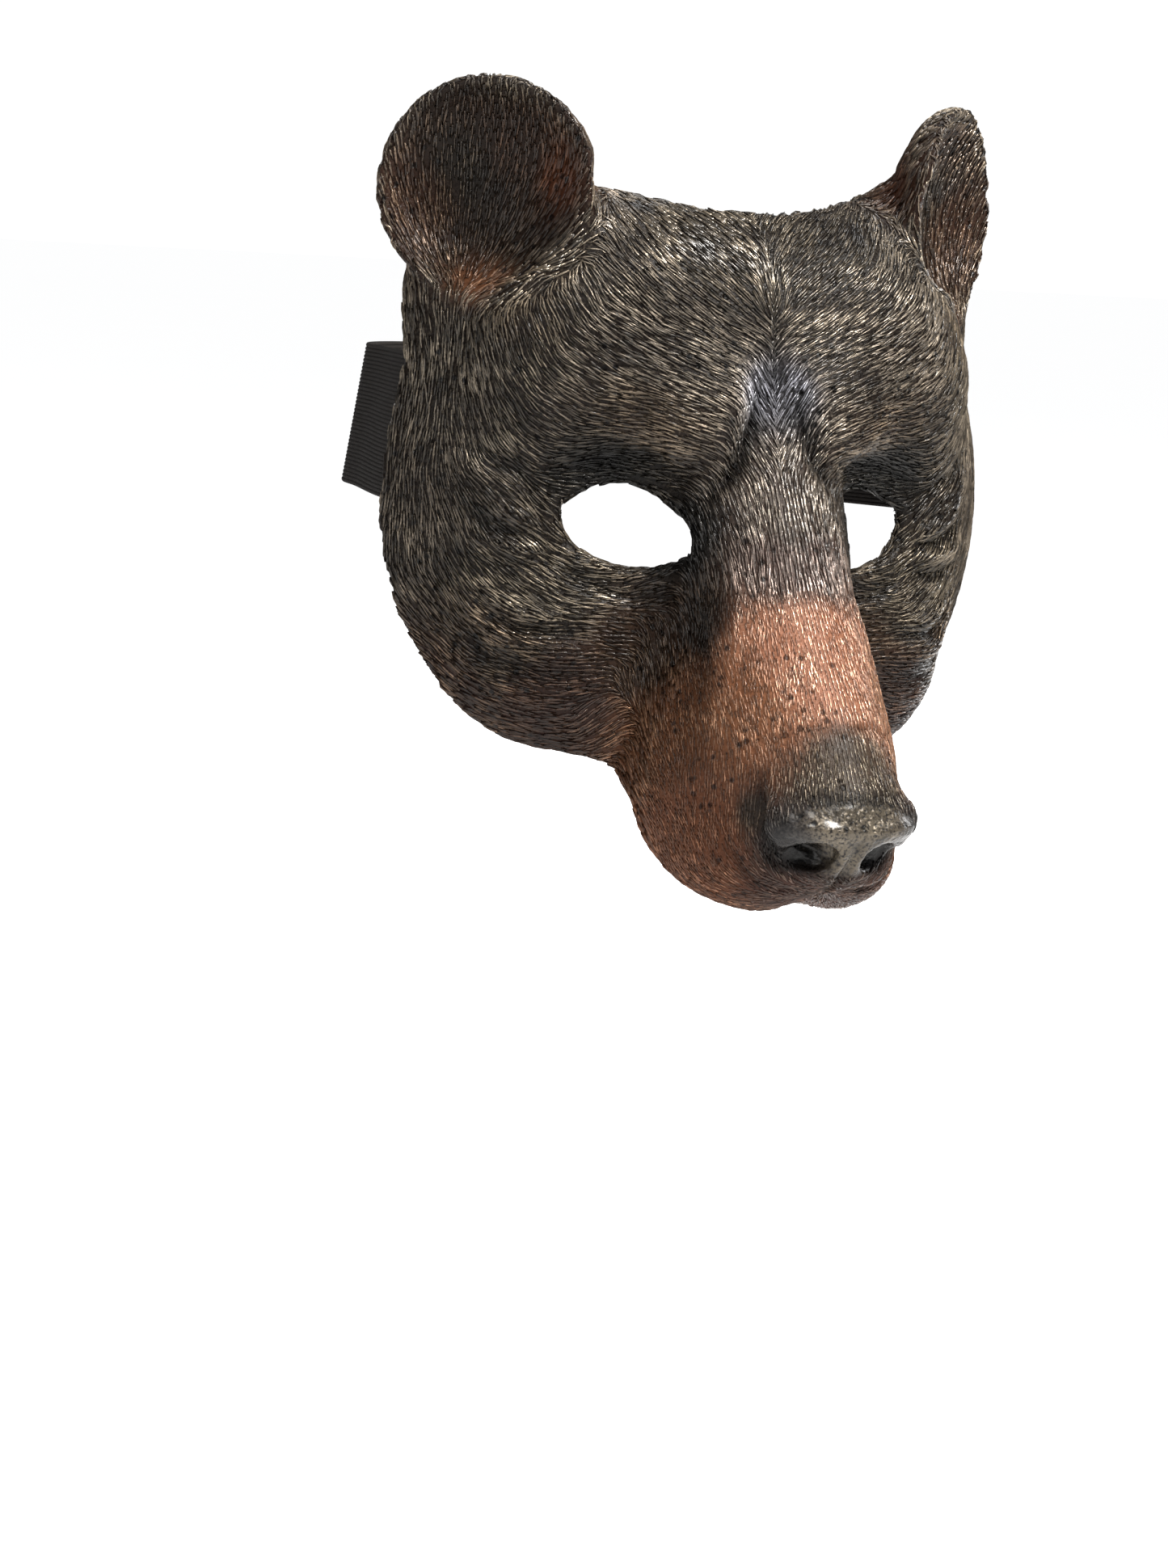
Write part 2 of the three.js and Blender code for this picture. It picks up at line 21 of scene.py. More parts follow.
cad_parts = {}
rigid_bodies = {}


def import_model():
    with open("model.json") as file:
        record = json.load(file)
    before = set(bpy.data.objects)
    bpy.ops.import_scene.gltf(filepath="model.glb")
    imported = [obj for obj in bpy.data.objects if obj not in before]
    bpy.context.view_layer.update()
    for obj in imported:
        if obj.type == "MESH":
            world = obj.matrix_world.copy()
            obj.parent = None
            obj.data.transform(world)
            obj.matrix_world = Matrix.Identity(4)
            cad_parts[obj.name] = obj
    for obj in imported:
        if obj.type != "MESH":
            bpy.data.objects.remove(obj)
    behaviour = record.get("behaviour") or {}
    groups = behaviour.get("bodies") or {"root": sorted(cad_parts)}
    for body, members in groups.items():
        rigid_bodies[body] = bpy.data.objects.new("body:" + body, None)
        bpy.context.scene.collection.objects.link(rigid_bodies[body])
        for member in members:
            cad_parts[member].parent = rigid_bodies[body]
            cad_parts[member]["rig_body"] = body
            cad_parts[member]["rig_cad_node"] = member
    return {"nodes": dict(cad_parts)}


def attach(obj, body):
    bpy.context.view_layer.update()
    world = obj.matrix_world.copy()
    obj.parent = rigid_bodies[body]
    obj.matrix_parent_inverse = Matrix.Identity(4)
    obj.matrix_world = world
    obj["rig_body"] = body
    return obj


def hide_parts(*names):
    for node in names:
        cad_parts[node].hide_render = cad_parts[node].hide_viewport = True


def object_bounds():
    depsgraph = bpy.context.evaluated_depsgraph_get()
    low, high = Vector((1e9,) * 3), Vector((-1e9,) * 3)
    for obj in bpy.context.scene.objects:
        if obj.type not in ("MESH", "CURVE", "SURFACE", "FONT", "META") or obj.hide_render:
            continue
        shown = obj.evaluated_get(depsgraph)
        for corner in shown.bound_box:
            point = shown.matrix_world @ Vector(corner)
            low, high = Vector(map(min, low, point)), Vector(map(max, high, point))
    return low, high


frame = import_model()
CAD_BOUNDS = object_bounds()

MM = 0.001
LOG = logging.getLogger("bear_mask")
Array = np.ndarray
Piece = bpy.types.Object
Socket = bpy.types.NodeSocket
Material = bpy.types.Material
Colour = tuple[float, float, float]
Point = tuple[float, float, float]


class Part(Enum):
    """Fur areas of the mask, each a piece of its own."""

    FOREHEAD = "fur_forehead"
    CHEEKS = "fur_cheeks"
    MUZZLE = "fur_muzzle"
    EARS = "fur_ears"


def deselect_all() -> None:
    """Leaves edit mode and selects nothing."""
    if bpy.context.object and bpy.context.object.mode != "OBJECT":
        bpy.ops.object.mode_set(mode="OBJECT")
    bpy.ops.object.select_all(action="DESELECT")


def make_active(piece: Piece) -> None:
    """Selects one piece alone and makes it the active one.

    Args:
        piece: the piece.
    """
    deselect_all()
    piece.select_set(True)
    bpy.context.view_layer.objects.active = piece


@contextmanager
def editing() -> Iterator[None]:
    """Opens the active piece in edit mode with all of it selected, and leaves the mode again."""
    bpy.ops.object.mode_set(mode="EDIT")
    bpy.ops.mesh.select_all(action="SELECT")
    yield
    bpy.ops.object.mode_set(mode="OBJECT")


def read_points(piece: Piece) -> Array:
    """Reads the points of a mesh.

    Args:
        piece: mesh object at the origin.

    Returns:
        Points in millimetres, one row each.
    """
    flat = np.zeros(len(piece.data.vertices) * 3)
    piece.data.vertices.foreach_get("co", flat)
    return flat.reshape(-1, 3) / MM


def write_points(piece: Piece, points: Array) -> None:
    """Writes points given in millimetres into a mesh.

    Args:
        piece: mesh object at the origin.
        points: new points, one row each.
    """
    piece.data.vertices.foreach_set("co", (points * MM).ravel())
    piece.data.update()


def point_normals(piece: Piece) -> Array:
    """Reads the normals of a mesh.

    Args:
        piece: mesh object at the origin.

    Returns:
        Unit normal at each point.
    """
    flat = np.zeros(len(piece.data.vertices) * 3)
    piece.data.vertex_normals.foreach_get("vector", flat)
    return flat.reshape(-1, 3)


def add_values(piece: Piece, name: str, values: Array) -> None:
    """Stores a number or a colour for each point as an attribute that materials read.

    Args:
        piece: mesh object.
        name: name of the attribute.
        values: one number or one row of three numbers for each point.
    """
    if values.ndim == 1:
        layer = piece.data.attributes.new(name, "FLOAT", "POINT")
        layer.data.foreach_set("value", values.astype(np.float32))
        return
    layer = piece.data.attributes.new(name, "FLOAT_COLOR", "POINT")
    rgba = np.ones((len(values), 4), np.float32)
    rgba[:, :3] = values
    layer.data.foreach_set("color", rgba.ravel())


def read_values(piece: Piece, name: str) -> Array:
    """Reads back the numbers that add_values stored.

    Args:
        piece: mesh object.
        name: name of the attribute.

    Returns:
        One number for each point.
    """
    layer = piece.data.attributes[name].data
    values = np.zeros(len(layer), np.float32)
    layer.foreach_get("value", values)
    return values


def smooth_step(low: float, high: float, value: Array) -> Array:
    """Rises smoothly from 0 at low to 1 at high."""
    share = np.clip((value - low) / (high - low), 0, 1)
    return share * share * (3 - 2 * share)


def mirrored(rows: Array, points: Array) -> Array:
    """Turns over, from side to side, the rows of the points that are left of the middle plane."""
    return rows * np.where(points[:, :1] < 0, [[-1.0, 1, 1]], [[1.0, 1, 1]])


def folded(points: Array) -> Array:
    """Brings points of both sides over to one side of the middle plane."""
    return mirrored(points, points)


def edge_ends(piece: Piece) -> Array:
    """Reads which points the edges of a mesh join.

    Args:
        piece: mesh object.

    Returns:
        Two rows with the numbers of the points at the two ends of each edge.
    """
    ends = np.zeros(len(piece.data.edges) * 2, int)
    piece.data.edges.foreach_get("vertices", ends)
    return ends.reshape(-1, 2).T


def neighbour_total(values: Array, ends: Array) -> Array:
    """Adds up, for each point, the values of the points that an edge joins to it."""
    first, second = ends
    return np.bincount(first, values[second], len(values)) + np.bincount(second, values[first], len(values))


def lengths(rows: Array) -> Array:
    """Gives the length of each row."""
    return np.linalg.norm(rows, axis=1)


def along_line(points: Array, line: Array) -> tuple[Array, Array]:
    """Measures points against a bent line.

    Args:
        points: places to measure.
        line: corners of the line.

    Returns:
        Distance of each point from the line, and its place along it from 0 to 1.
    """
    steps = lengths(np.diff(line, axis=0))
    total = steps.sum()
    best = np.full(len(points), 1e9)
    place = np.zeros(len(points))
    before = 0.0
    for start, end, step in zip(line[:-1], line[1:], steps):
        way = end - start
        share = np.clip(((points - start) @ way) / (way @ way), 0, 1)
        distance = lengths(points - start - share[:, None] * way)
        nearer = distance < best
        best = np.where(nearer, distance, best)
        place = np.where(nearer, (before + share * step) / total, place)
        before += step
    return best, place


@dataclass
class Ear:
    """Round ear cup, as the combing and the paint see it."""

    centre: Point = (88.5, 39.0, 74.5)
    low_point: Point = (88.0, 58.0, 12.0)
    reach: float = 45.0
    blend: float = 9.0
    opening: Point = (0.669, -0.743, 0.0)
    rim_radius: float = 35.5
    rim_lift: float = 2.2
    cup_depth: float = 14.5
    flare: float = 2.6
    # Where the funnel fades in: by how far the skin faces the opening, and by its height over the rim.
    facing_edge: tuple[float, float] = (0.15, 0.5)
    upper_edge: tuple[float, float] = (3.0, 5.0)
    lower_edge: tuple[float, float] = (-19.0, -16.0)

    def share(self, points: Array) -> Array:
        """Says how far each point of the folded side belongs to the ear, from 0 to 1."""
        away = lengths(points - np.array(self.centre))
        return 1 - smooth_step(self.reach - self.blend, self.reach, away)

    def measure(self, points: Array) -> tuple[Array, Array]:
        """Measures points of the folded side against the cup.

        Args:
            points: places on the mask, brought over to one side.

        Returns:
            Distance of each point from the axis of the cup, and its height along it above the rim's plane.
        """
        axis = np.array(self.opening)
        offset = points - np.array(self.centre)
        depth = offset @ axis
        return lengths(offset - depth[:, None] * axis), depth

    def hollowed(self, points: Array, normals: Array) -> Array:
        """Shapes the inside of the cup into one even funnel from its rim to its bottom.

        Args:
            points: places on the mask.
            normals: unit normals there.

        Returns:
            The moved places.
        """
        axis = np.array(self.opening)
        radius, depth = self.measure(folded(points))
        turned = mirrored(normals, points)
        facing = turned[:, 0] * axis[0] + turned[:, 1] * axis[1]
        wanted = (self.cup_depth + self.rim_lift) * (radius / self.rim_radius) ** self.flare - self.cup_depth
        share = smooth_step(*self.facing_edge, facing) * (1 - smooth_step(*self.upper_edge, depth))
        share = share * smooth_step(*self.lower_edge, depth)
        share *= radius < self.rim_radius + 1
        return points + mirrored(((wanted - depth) * share)[:, None] * axis, points)


@dataclass
class Combing:
    """Lie of the fur over the mask, from short guides: the place and the direction of each."""

    ear: Ear = field(default_factory=Ear)
    power: float = 2.0
    guides: tuple[tuple[float, ...], ...] = (
        # Crown and forehead
        (0, 6, 51, 0.2, 0.4, 0.92), (11, 7, 53, 0.73, 0.31, 0.6), (23, 3, 42, 0.84, 0.14, 0.53),
        (38, 4, 44, 0.83, 0.17, 0.54), (50, 7, 51, 0.62, 0.42, 0.66), (52, 14, 61, 0.37, 0.64, 0.67),
        (14, 0, 31, 0.9, 0.12, 0.42), (34, 1, 30, 0.92, 0.18, 0.35), (55, 5, 35, 0.84, 0.27, 0.48),
        (66, 11, 43, 0.36, 0.46, 0.81),
        # Low forehead
        (5, -2, 17, 0.53, 0.05, 0.85), (23, -3, 20, 0.92, 0.11, 0.38), (45, 1, 20, 0.87, 0.35, 0.35),
        (66, 9, 24, 0.78, 0.33, 0.53),
        # Below the ears and the top of the temples
        (77, 16, 30, 0.27, 0.34, 0.9), (86, 22, 27, 0.13, 0.38, 0.92), (91, 32, 29, -0.1, 0.53, 0.84),
        (96, 41, 26, -0.03, 0.17, 0.98),
        # Brow
        (10, -5, 0, 0.49, 0.13, 0.86), (30, -3, 2, 0.95, 0.15, 0.27), (52, 5, 4, 0.91, 0.41, 0.08),
        (72, 13, 7, 0.84, 0.3, 0.45), (83, 19, 13, 0.51, 0.32, 0.8), (36, 6, -8, 0.84, 0.54, 0.1),
        (60, 15, -9, 0.97, 0.21, -0.14),
        # Temple and side edge
        (91, 28, 11, 0.21, 0.24, 0.95), (100, 42, 10, -0.15, 0.17, 0.97), (106, 44, -7, -0.18, -0.02, 0.98),
        (86, 26, -17, 0.67, 0.41, 0.61), (95, 33, -6, 0.17, 0.26, 0.95), (112, 53, -35, -0.01, -0.19, 0.98),
        # Cheekbone and under the eye
        (104, 42, -39, 0.15, 0.03, 0.99), (96, 34, -37, 0.34, 0.21, 0.92), (87, 27, -45, 0.6, 0.34, 0.72),
        (74, 19, -53, 0.77, 0.43, 0.48), (53, 13, -56, 0.98, 0.18, 0.03), (37, 9, -52, 0.84, 0.43, -0.33),
        # Cheek and its rim
        (99, 41, -59, 0.53, 0.34, 0.78), (85, 26, -64, 0.63, 0.63, 0.45), (65, 14, -68, 0.94, 0.33, 0.07),
        (46, 9, -70, 0.98, 0.14, 0.11), (97, 44, -73, 0.56, 0.53, 0.64), (80, 23, -79, 0.74, 0.63, 0.24),
        (58, 12, -81, 0.97, 0.24, -0.09), (84, 35, -92, 0.6, 0.7, 0.38), (67, 23, -98, 0.9, 0.44, 0.07),
        (51, 13, -95, 0.54, 0.6, -0.6),
        # Muzzle side and jowl
        (40, 6, -80, 0.01, 0.39, 0.92), (34, 6, -68, 0.15, 0.33, 0.93), (37, -12, -91, -0.18, 0.6, 0.78),
        (43, -9, -108, 0.05, 0.59, 0.81), (36, -29, -109, 0.03, 0.18, 0.98), (39, -18, -128, 0.26, 0.37, 0.89),
        (34, -34, -134, 0.24, 0.33, 0.91), (30, -36, -144, 0.56, 0.76, 0.32),
        # Bridge and top of the muzzle
        (28, -11, -54, -0.02, 0.35, 0.93), (29, -25, -76, -0.06, 0.57, 0.82), (20, -11, -26, 0.14, 0.48, 0.87),
        (2, -16, -24, -0.05, 0.47, 0.86), (6, -24, -41, -0.04, 0.42, 0.88), (13, -35, -62, -0.07, 0.49, 0.85),
        (12, -51, -84, -0.08, 0.47, 0.86), (21, -34, -70, -0.06, 0.49, 0.87), (23, -46, -90, -0.02, 0.51, 0.86),
        (28, -46, -113, 0.02, 0.09, 1.0), (10, -63, -102, -0.1, 0.39, 0.87),
    )

    def direction(self, points: Array, normals: Array) -> Array:
        """Gives the lie of the fur.

        Args:
            points: places on the mask.
            normals: unit normals there.

        Returns:
            Unit directions along the surface, one row for each point.
        """
        near = folded(points)
        places, ways = (np.array([row[i : i + 3] for row in self.guides], float) for i in (0, 3))
        gap = ((near[:, None, :] - places[None]) ** 2).sum(2) + 4
        weight = gap ** -self.power
        way = (weight @ ways) / weight.sum(1)[:, None]
        radial = near - np.array(self.ear.low_point)
        radial /= lengths(radial)[:, None] + 1e-9
        share = self.ear.share(near)[:, None]
        radial *= np.sign((radial * way).sum(1) + 1e-9)[:, None]
        way = mirrored(way * (1 - share) + radial * share, points)
        way -= (way * normals).sum(1)[:, None] * normals
        return way / (lengths(way)[:, None] + 1e-9)


@dataclass(frozen=True)
class Crease:
    """One sculpted ridge, or a groove where the height is below zero."""

    name: str
    height: float
    width: float
    line: tuple[Point, ...]


@dataclass
class Carving:
    """Folds, lids and creases that are carved into the face."""

    creases: tuple[Crease, ...] = (
        Crease("lower lid", 1.5, 2.2,
               ((30, 0, -48), (33, 7, -48), (42, 13, -48), (52, 17, -46), (60, 19, -42), (66, 20, -37))),
        Crease("upper lid", 1.1, 2.2,
               ((30, 4, -21), (35, 12, -17), (45, 17, -16), (55, 19, -19), (66, 21, -23), (69, 21, -33))),
        Crease("under lid", -1.5, 2.4, ((33, 4, -54), (42, 11, -55), (52, 15, -53), (61, 19, -49), (69, 22, -43))),
        Crease("over lid", -1.6, 3.2, ((31, 2, -13), (42, 10, -9), (54, 15, -10), (66, 18, -15), (76, 22, -21))),
        Crease("eye fold", 2.9, 2.6, ((67, 15, -63), (76, 20, -62), (84, 25, -58), (89, 30, -54))),
        Crease("below eye fold", -1.9, 2.5, ((60, 13, -66), (70, 16, -67), (79, 22, -66), (87, 28, -61))),
        Crease("cheek fold", 2.6, 3.2, ((56, 11, -72), (69, 15, -73), (81, 22, -70), (89, 30, -63), (94, 35, -54))),
        Crease("below cheek fold", -1.4, 3.4, ((58, 12, -80), (71, 18, -81), (83, 26, -77), (92, 34, -69))),
        Crease("corner fold", 2.9, 2.1, ((73, 21, -33), (78, 22, -31), (85, 25, -27), (89, 27, -22))),
        Crease("corner fold, low", 2.6, 2.1, ((71, 21, -41), (81, 23, -40), (88, 27, -38), (94, 31, -36))),
        Crease("corner groove", -2.0, 1.8, ((74, 21, -36), (81, 23, -35), (88, 27, -32), (93, 30, -28))),
        Crease("corner groove, low", -1.6, 1.9, ((70, 21, -46), (79, 22, -46), (87, 27, -45), (95, 33, -43))),
        Crease("temple fold", 1.8, 3.0, ((76, 22, -26), (84, 24, -21), (92, 29, -17), (98, 35, -11))),
        Crease("temple groove", -1.5, 2.6, ((70, 19, -20), (79, 21, -16), (88, 25, -11), (95, 31, -5))),
        Crease("bridge edge", 1.0, 3.0,
               ((20, -12, -29), (21, -17, -42), (22, -23, -54), (25, -28, -67), (28, -32, -80))),
        Crease("bridge side", -1.6, 5.0, ((30, -7, -49), (29, -10, -61), (30, -18, -73), (33, -22, -84))),
        Crease("nose wing", -3.4, 2.3,
               ((25, -50, -106), (27, -53, -113), (27, -54, -120), (27, -56, -127), (22, -56, -133), (15, -57, -137))),
        Crease("wing bulge", 1.5, 3.0, ((22, -59, -112), (23, -60, -119), (23, -60, -125))),
        Crease("nostril", -1.6, 2.9,
               ((6, -65, -129), (10, -65, -130), (14, -63, -131), (18, -60, -131), (21, -58, -129))),
        Crease("nostril, low", -1.2, 2.4, ((8, -63, -132), (12, -62, -133), (17, -59, -133))),
        Crease("nostril floor", 1.0, 1.8,
               ((4, -61, -138), (10, -61, -136), (17, -58, -135), (23, -57, -130), (25, -57, -123))),
        Crease("nose ridge", 2.3, 2.8,
               ((0, -71, -122), (7, -71, -122), (14, -70, -121), (20, -66, -121), (24, -61, -118))),
        Crease("nose top", -0.9, 3.0, ((0, -69, -113), (8, -68, -113), (15, -65, -113), (21, -59, -111))),
        Crease("philtrum", -2.2, 1.6, ((0, -71, -127), (0, -67, -132), (0, -62, -138), (0, -57, -142), (0, -50, -146))),
        Crease("lip edge", -1.2, 1.5,
               ((8, -55, -143), (16, -52, -143), (24, -48, -140), (29, -46, -134), (31, -42, -128))),
        Crease("muzzle line", -0.8, 1.1, ((0, -57, -91), (8, -56, -90), (15, -53, -92), (21, -48, -96))),
        Crease("brow groove", -1.7, 1.6, ((0, 3, 44), (0, 0, 31), (0, -1, 20), (0, -2, 11))),
        Crease("brow valley", -2.8, 3.2, ((7, -2, 13), (9, -3, 5), (13, -6, -5), (18, -7, -13), (24, -5, -20))),
        Crease("brow bulge", 2.4, 6.0, ((13, -3, 20), (18, -5, 8), (24, -4, 0), (34, 0, -2), (46, 5, 0))),
    )

    settled: dict[str, Array] = field(default_factory=dict)

    def settle(self, tree: BVHTree) -> None:
        """Lays the lines of all creases on the face.

        Args:
            tree: surface of the skin.
        """
        for crease in self.creases:
            corners = np.array(crease.line, float)
            share = np.linspace(0, len(corners) - 1, 4 * len(corners) - 3)
            fine = np.stack([np.interp(share, range(len(corners)), corners[:, axis]) for axis in range(3)], axis=1)
            self.settled[crease.name] = np.array([tree.find_nearest(Vector(p * MM))[0] for p in fine]) / MM

    def height(self, points: Array) -> Array:
        """Gives how far each point stands out after carving, in millimetres.

        Args:
            points: places on the mask.

        Returns:
            One height for each point.
        """
        near = folded(points)
        total = np.zeros(len(points))
        for crease in self.creases:
            line = self.settled[crease.name]
            outside = np.abs(near - np.clip(near, line.min(0), line.max(0))).max(1)
            close = np.flatnonzero(outside < 3 * crease.width)
            distance, place = along_line(near[close], line)
            fade = np.sqrt(np.clip(np.sin(math.pi * np.clip(place, 0.04, 0.96)), 0, 1))
            total[close] += crease.height * fade * np.exp(-((distance / crease.width) ** 2))
        return total

    def lid_distance(self, points: Array) -> Array:
        """Measures points against the lids.

        Args:
            points: places on the mask.

        Returns:
            Distance of each point from the nearer lid, in millimetres.
        """
        near = folded(points)
        lids = [crease for crease in self.creases if crease.name in ("lower lid", "upper lid")]
        return np.minimum(*[along_line(near, self.settled[lid.name])[0] for lid in lids])


@dataclass(frozen=True)
class Zone:
    """Painted area: its middle, its reach, the paint in the grooves and the paint brushed on the ridges."""

    name: str
    middle: Point
    reach: float
    ground: Colour
    brush: Colour


@dataclass
class Painting:
    """Paint scheme of the mask."""

    zones: tuple[Zone, ...] = (
        Zone("crown", (20, 10, 60), 26, (0.009, 0.0065, 0.005), (0.18, 0.148, 0.108)),
        Zone("forehead", (38, 1, 28), 34, (0.0085, 0.0058, 0.0045), (0.37, 0.31, 0.24)),
        # Painted sheen: the pale blue-grey brush of the brow groove stands for a bluish reflection.
        Zone("groove", (5, -2, 14), 11, (0.018, 0.017, 0.019), (0.47, 0.47, 0.53)),
        Zone("brow", (45, 4, 5), 22, (0.016, 0.0095, 0.0065), (0.25, 0.19, 0.13)),
        Zone("temple", (95, 35, 15), 30, (0.010, 0.0072, 0.0055), (0.27, 0.225, 0.17)),
        Zone("side", (110, 50, -20), 30, (0.010, 0.0072, 0.0055), (0.21, 0.172, 0.13)),
        # Painted shade: the eye sockets are painted near black where the brow overhang shades them.
        Zone("socket", (50, 13, -12), 21, (0.005, 0.0045, 0.004), (0.04, 0.036, 0.03)),
        Zone("socket, inner", (29, 2, -34), 16, (0.005, 0.0045, 0.004), (0.035, 0.03, 0.025)),
        Zone("under eye", (75, 20, -52), 22, (0.009, 0.0066, 0.005), (0.29, 0.24, 0.175)),
        Zone("cheek", (82, 24, -72), 20, (0.012, 0.0075, 0.005), (0.165, 0.12, 0.08)),
        Zone("low cheek", (68, 20, -88), 20, (0.022, 0.0105, 0.0075), (0.115, 0.068, 0.045)),
        Zone("cheek rim", (90, 40, -90), 18, (0.022, 0.011, 0.008), (0.13, 0.085, 0.055)),
        Zone("bridge", (0, -14, -24), 20, (0.034, 0.022, 0.016), (0.38, 0.325, 0.265)),
        Zone("bridge, low", (8, -22, -40), 13, (0.042, 0.024, 0.018), (0.38, 0.30, 0.26)),
        # Painted shade: the side of the bridge is painted dark brown where it is turned from the light.
        Zone("bridge side", (29, -8, -58), 13, (0.014, 0.009, 0.0065), (0.075, 0.05, 0.033)),
        Zone("muzzle top", (6, -42, -72), 20, (0.24, 0.100, 0.055), (0.80, 0.49, 0.35)),
        Zone("muzzle top side", (25, -38, -84), 16, (0.180, 0.074, 0.036), (0.54, 0.31, 0.19)),
        # The muzzle side and the jowl are a darker brown than the muzzle top: partly their own tan-brown paint, partly
        # painted shade on the side turned from the light.
        Zone("muzzle side", (38, -12, -98), 22, (0.085, 0.034, 0.016), (0.25, 0.135, 0.075)),
        Zone("jowl", (37, -25, -128), 20, (0.100, 0.037, 0.018), (0.27, 0.135, 0.078)),
        Zone("muzzle root", (42, 6, -74), 14, (0.024, 0.013, 0.008), (0.12, 0.08, 0.05)),
        Zone("behind nose", (0, -63, -103), 14, (0.045, 0.031, 0.022), (0.22, 0.18, 0.125)),
        Zone("beside nose", (28, -50, -118), 6, (0.026, 0.018, 0.013), (0.13, 0.09, 0.06)),
        Zone("nose", (0, -70, -118), 16, (0.011, 0.0102, 0.0102), (0.24, 0.20, 0.145)),
        Zone("nose wing", (20, -62, -126), 11, (0.009, 0.0085, 0.009), (0.06, 0.055, 0.05)),
        # Painted shade: the nostrils are painted near black inside.
        Zone("nostril", (13, -58, -130), 8, (0.003, 0.003, 0.003), (0.008, 0.008, 0.008)),
        Zone("lip", (14, -54, -144), 10, (0.050, 0.024, 0.018), (0.15, 0.10, 0.075)),
        Zone("ear foot", (84, 24, 36), 15, (0.014, 0.009, 0.0065), (0.31, 0.245, 0.17)),
        Zone("cup, top", (84, 46, 84), 20, (0.016, 0.0075, 0.0045), (0.125, 0.066, 0.041)),
        Zone("cup, inner side", (68, 32, 80), 10, (0.050, 0.017, 0.008), (0.16, 0.07, 0.036)),
        Zone("cup, bottom", (89, 41, 44), 10, (0.080, 0.033, 0.016), (0.20, 0.108, 0.062)),
        Zone("cup, outer side", (104, 54, 70), 16, (0.026, 0.012, 0.0075), (0.27, 0.175, 0.115)),
        Zone("ear rim", (88, 34, 112), 10, (0.018, 0.012, 0.009), (0.22, 0.18, 0.125)),
        Zone("ear back", (80, 58, 84), 22, (0.010, 0.008, 0.006), (0.13, 0.11, 0.08)),
    )
    sharpness: float = 2.6
    ear: Ear = field(default_factory=Ear)
    # The ear rim gets a paler brush: partly its dry-brushed paint, partly painted highlight along the rim.
    rim_brush_and_highlight: Colour = (0.30, 0.25, 0.185)
    rim_share: float = 0.85
    rim_width: float = 2.4
    # Painted shade inside the ear cup, darker away from its rim.
    cup_shade: float = 0.35
    # Painted shade in the folds and painted highlight on their ridges.
    fold_shade_and_highlight: float = 0.42

    def colours(self, points: Array, carving: Carving) -> tuple[Array, Array]:
        """Gives the two paints at each point, with painted shade in the folds and the ear cup, and painted highlight on
        the fold ridges and the ear rim.

        Args:
            points: places on the mask.
            carving: the folds.

        Returns:
            Ground colours and brush colours, one row for each point.
        """
        near = folded(points)
        middles, reach, grounds, brushes = (
            np.array([getattr(zone, name) for zone in self.zones]) for name in ("middle", "reach", "ground", "brush")
        )
        gap = np.linalg.norm(near[:, None, :] - middles[None], axis=2) / reach[None]
        weight = 1 / (gap ** 2 + 0.05) ** self.sharpness
        weight /= weight.sum(1)[:, None]
        ground = weight @ grounds
        brush = weight @ brushes
        radius, depth = self.ear.measure(near)
        cup = self.ear.share(near) * smooth_step(-18, -14, depth)
        # Painted shade: the brush darkens deep in the ear cup, away from its rim.
        brush = brush * (1 - self.cup_shade * cup * (1 - smooth_step(24, 32, radius)))[:, None]
        # Painted highlight along the ear rim, mixed into its paler dry-brushed paint.
        rim = (self.rim_share * cup * np.exp(-(((radius - self.ear.rim_radius) / self.rim_width) ** 2)))[:, None]
        brush = brush * (1 - rim) + np.array(self.rim_brush_and_highlight) * rim
        # Painted shade darkens the grooves and painted highlight lightens the ridges of the carved folds.
        shade = np.clip(1 + self.fold_shade_and_highlight * carving.height(points), 0.2, 1.6)[:, None]
        return ground * np.minimum(shade, 1.15), brush * shade


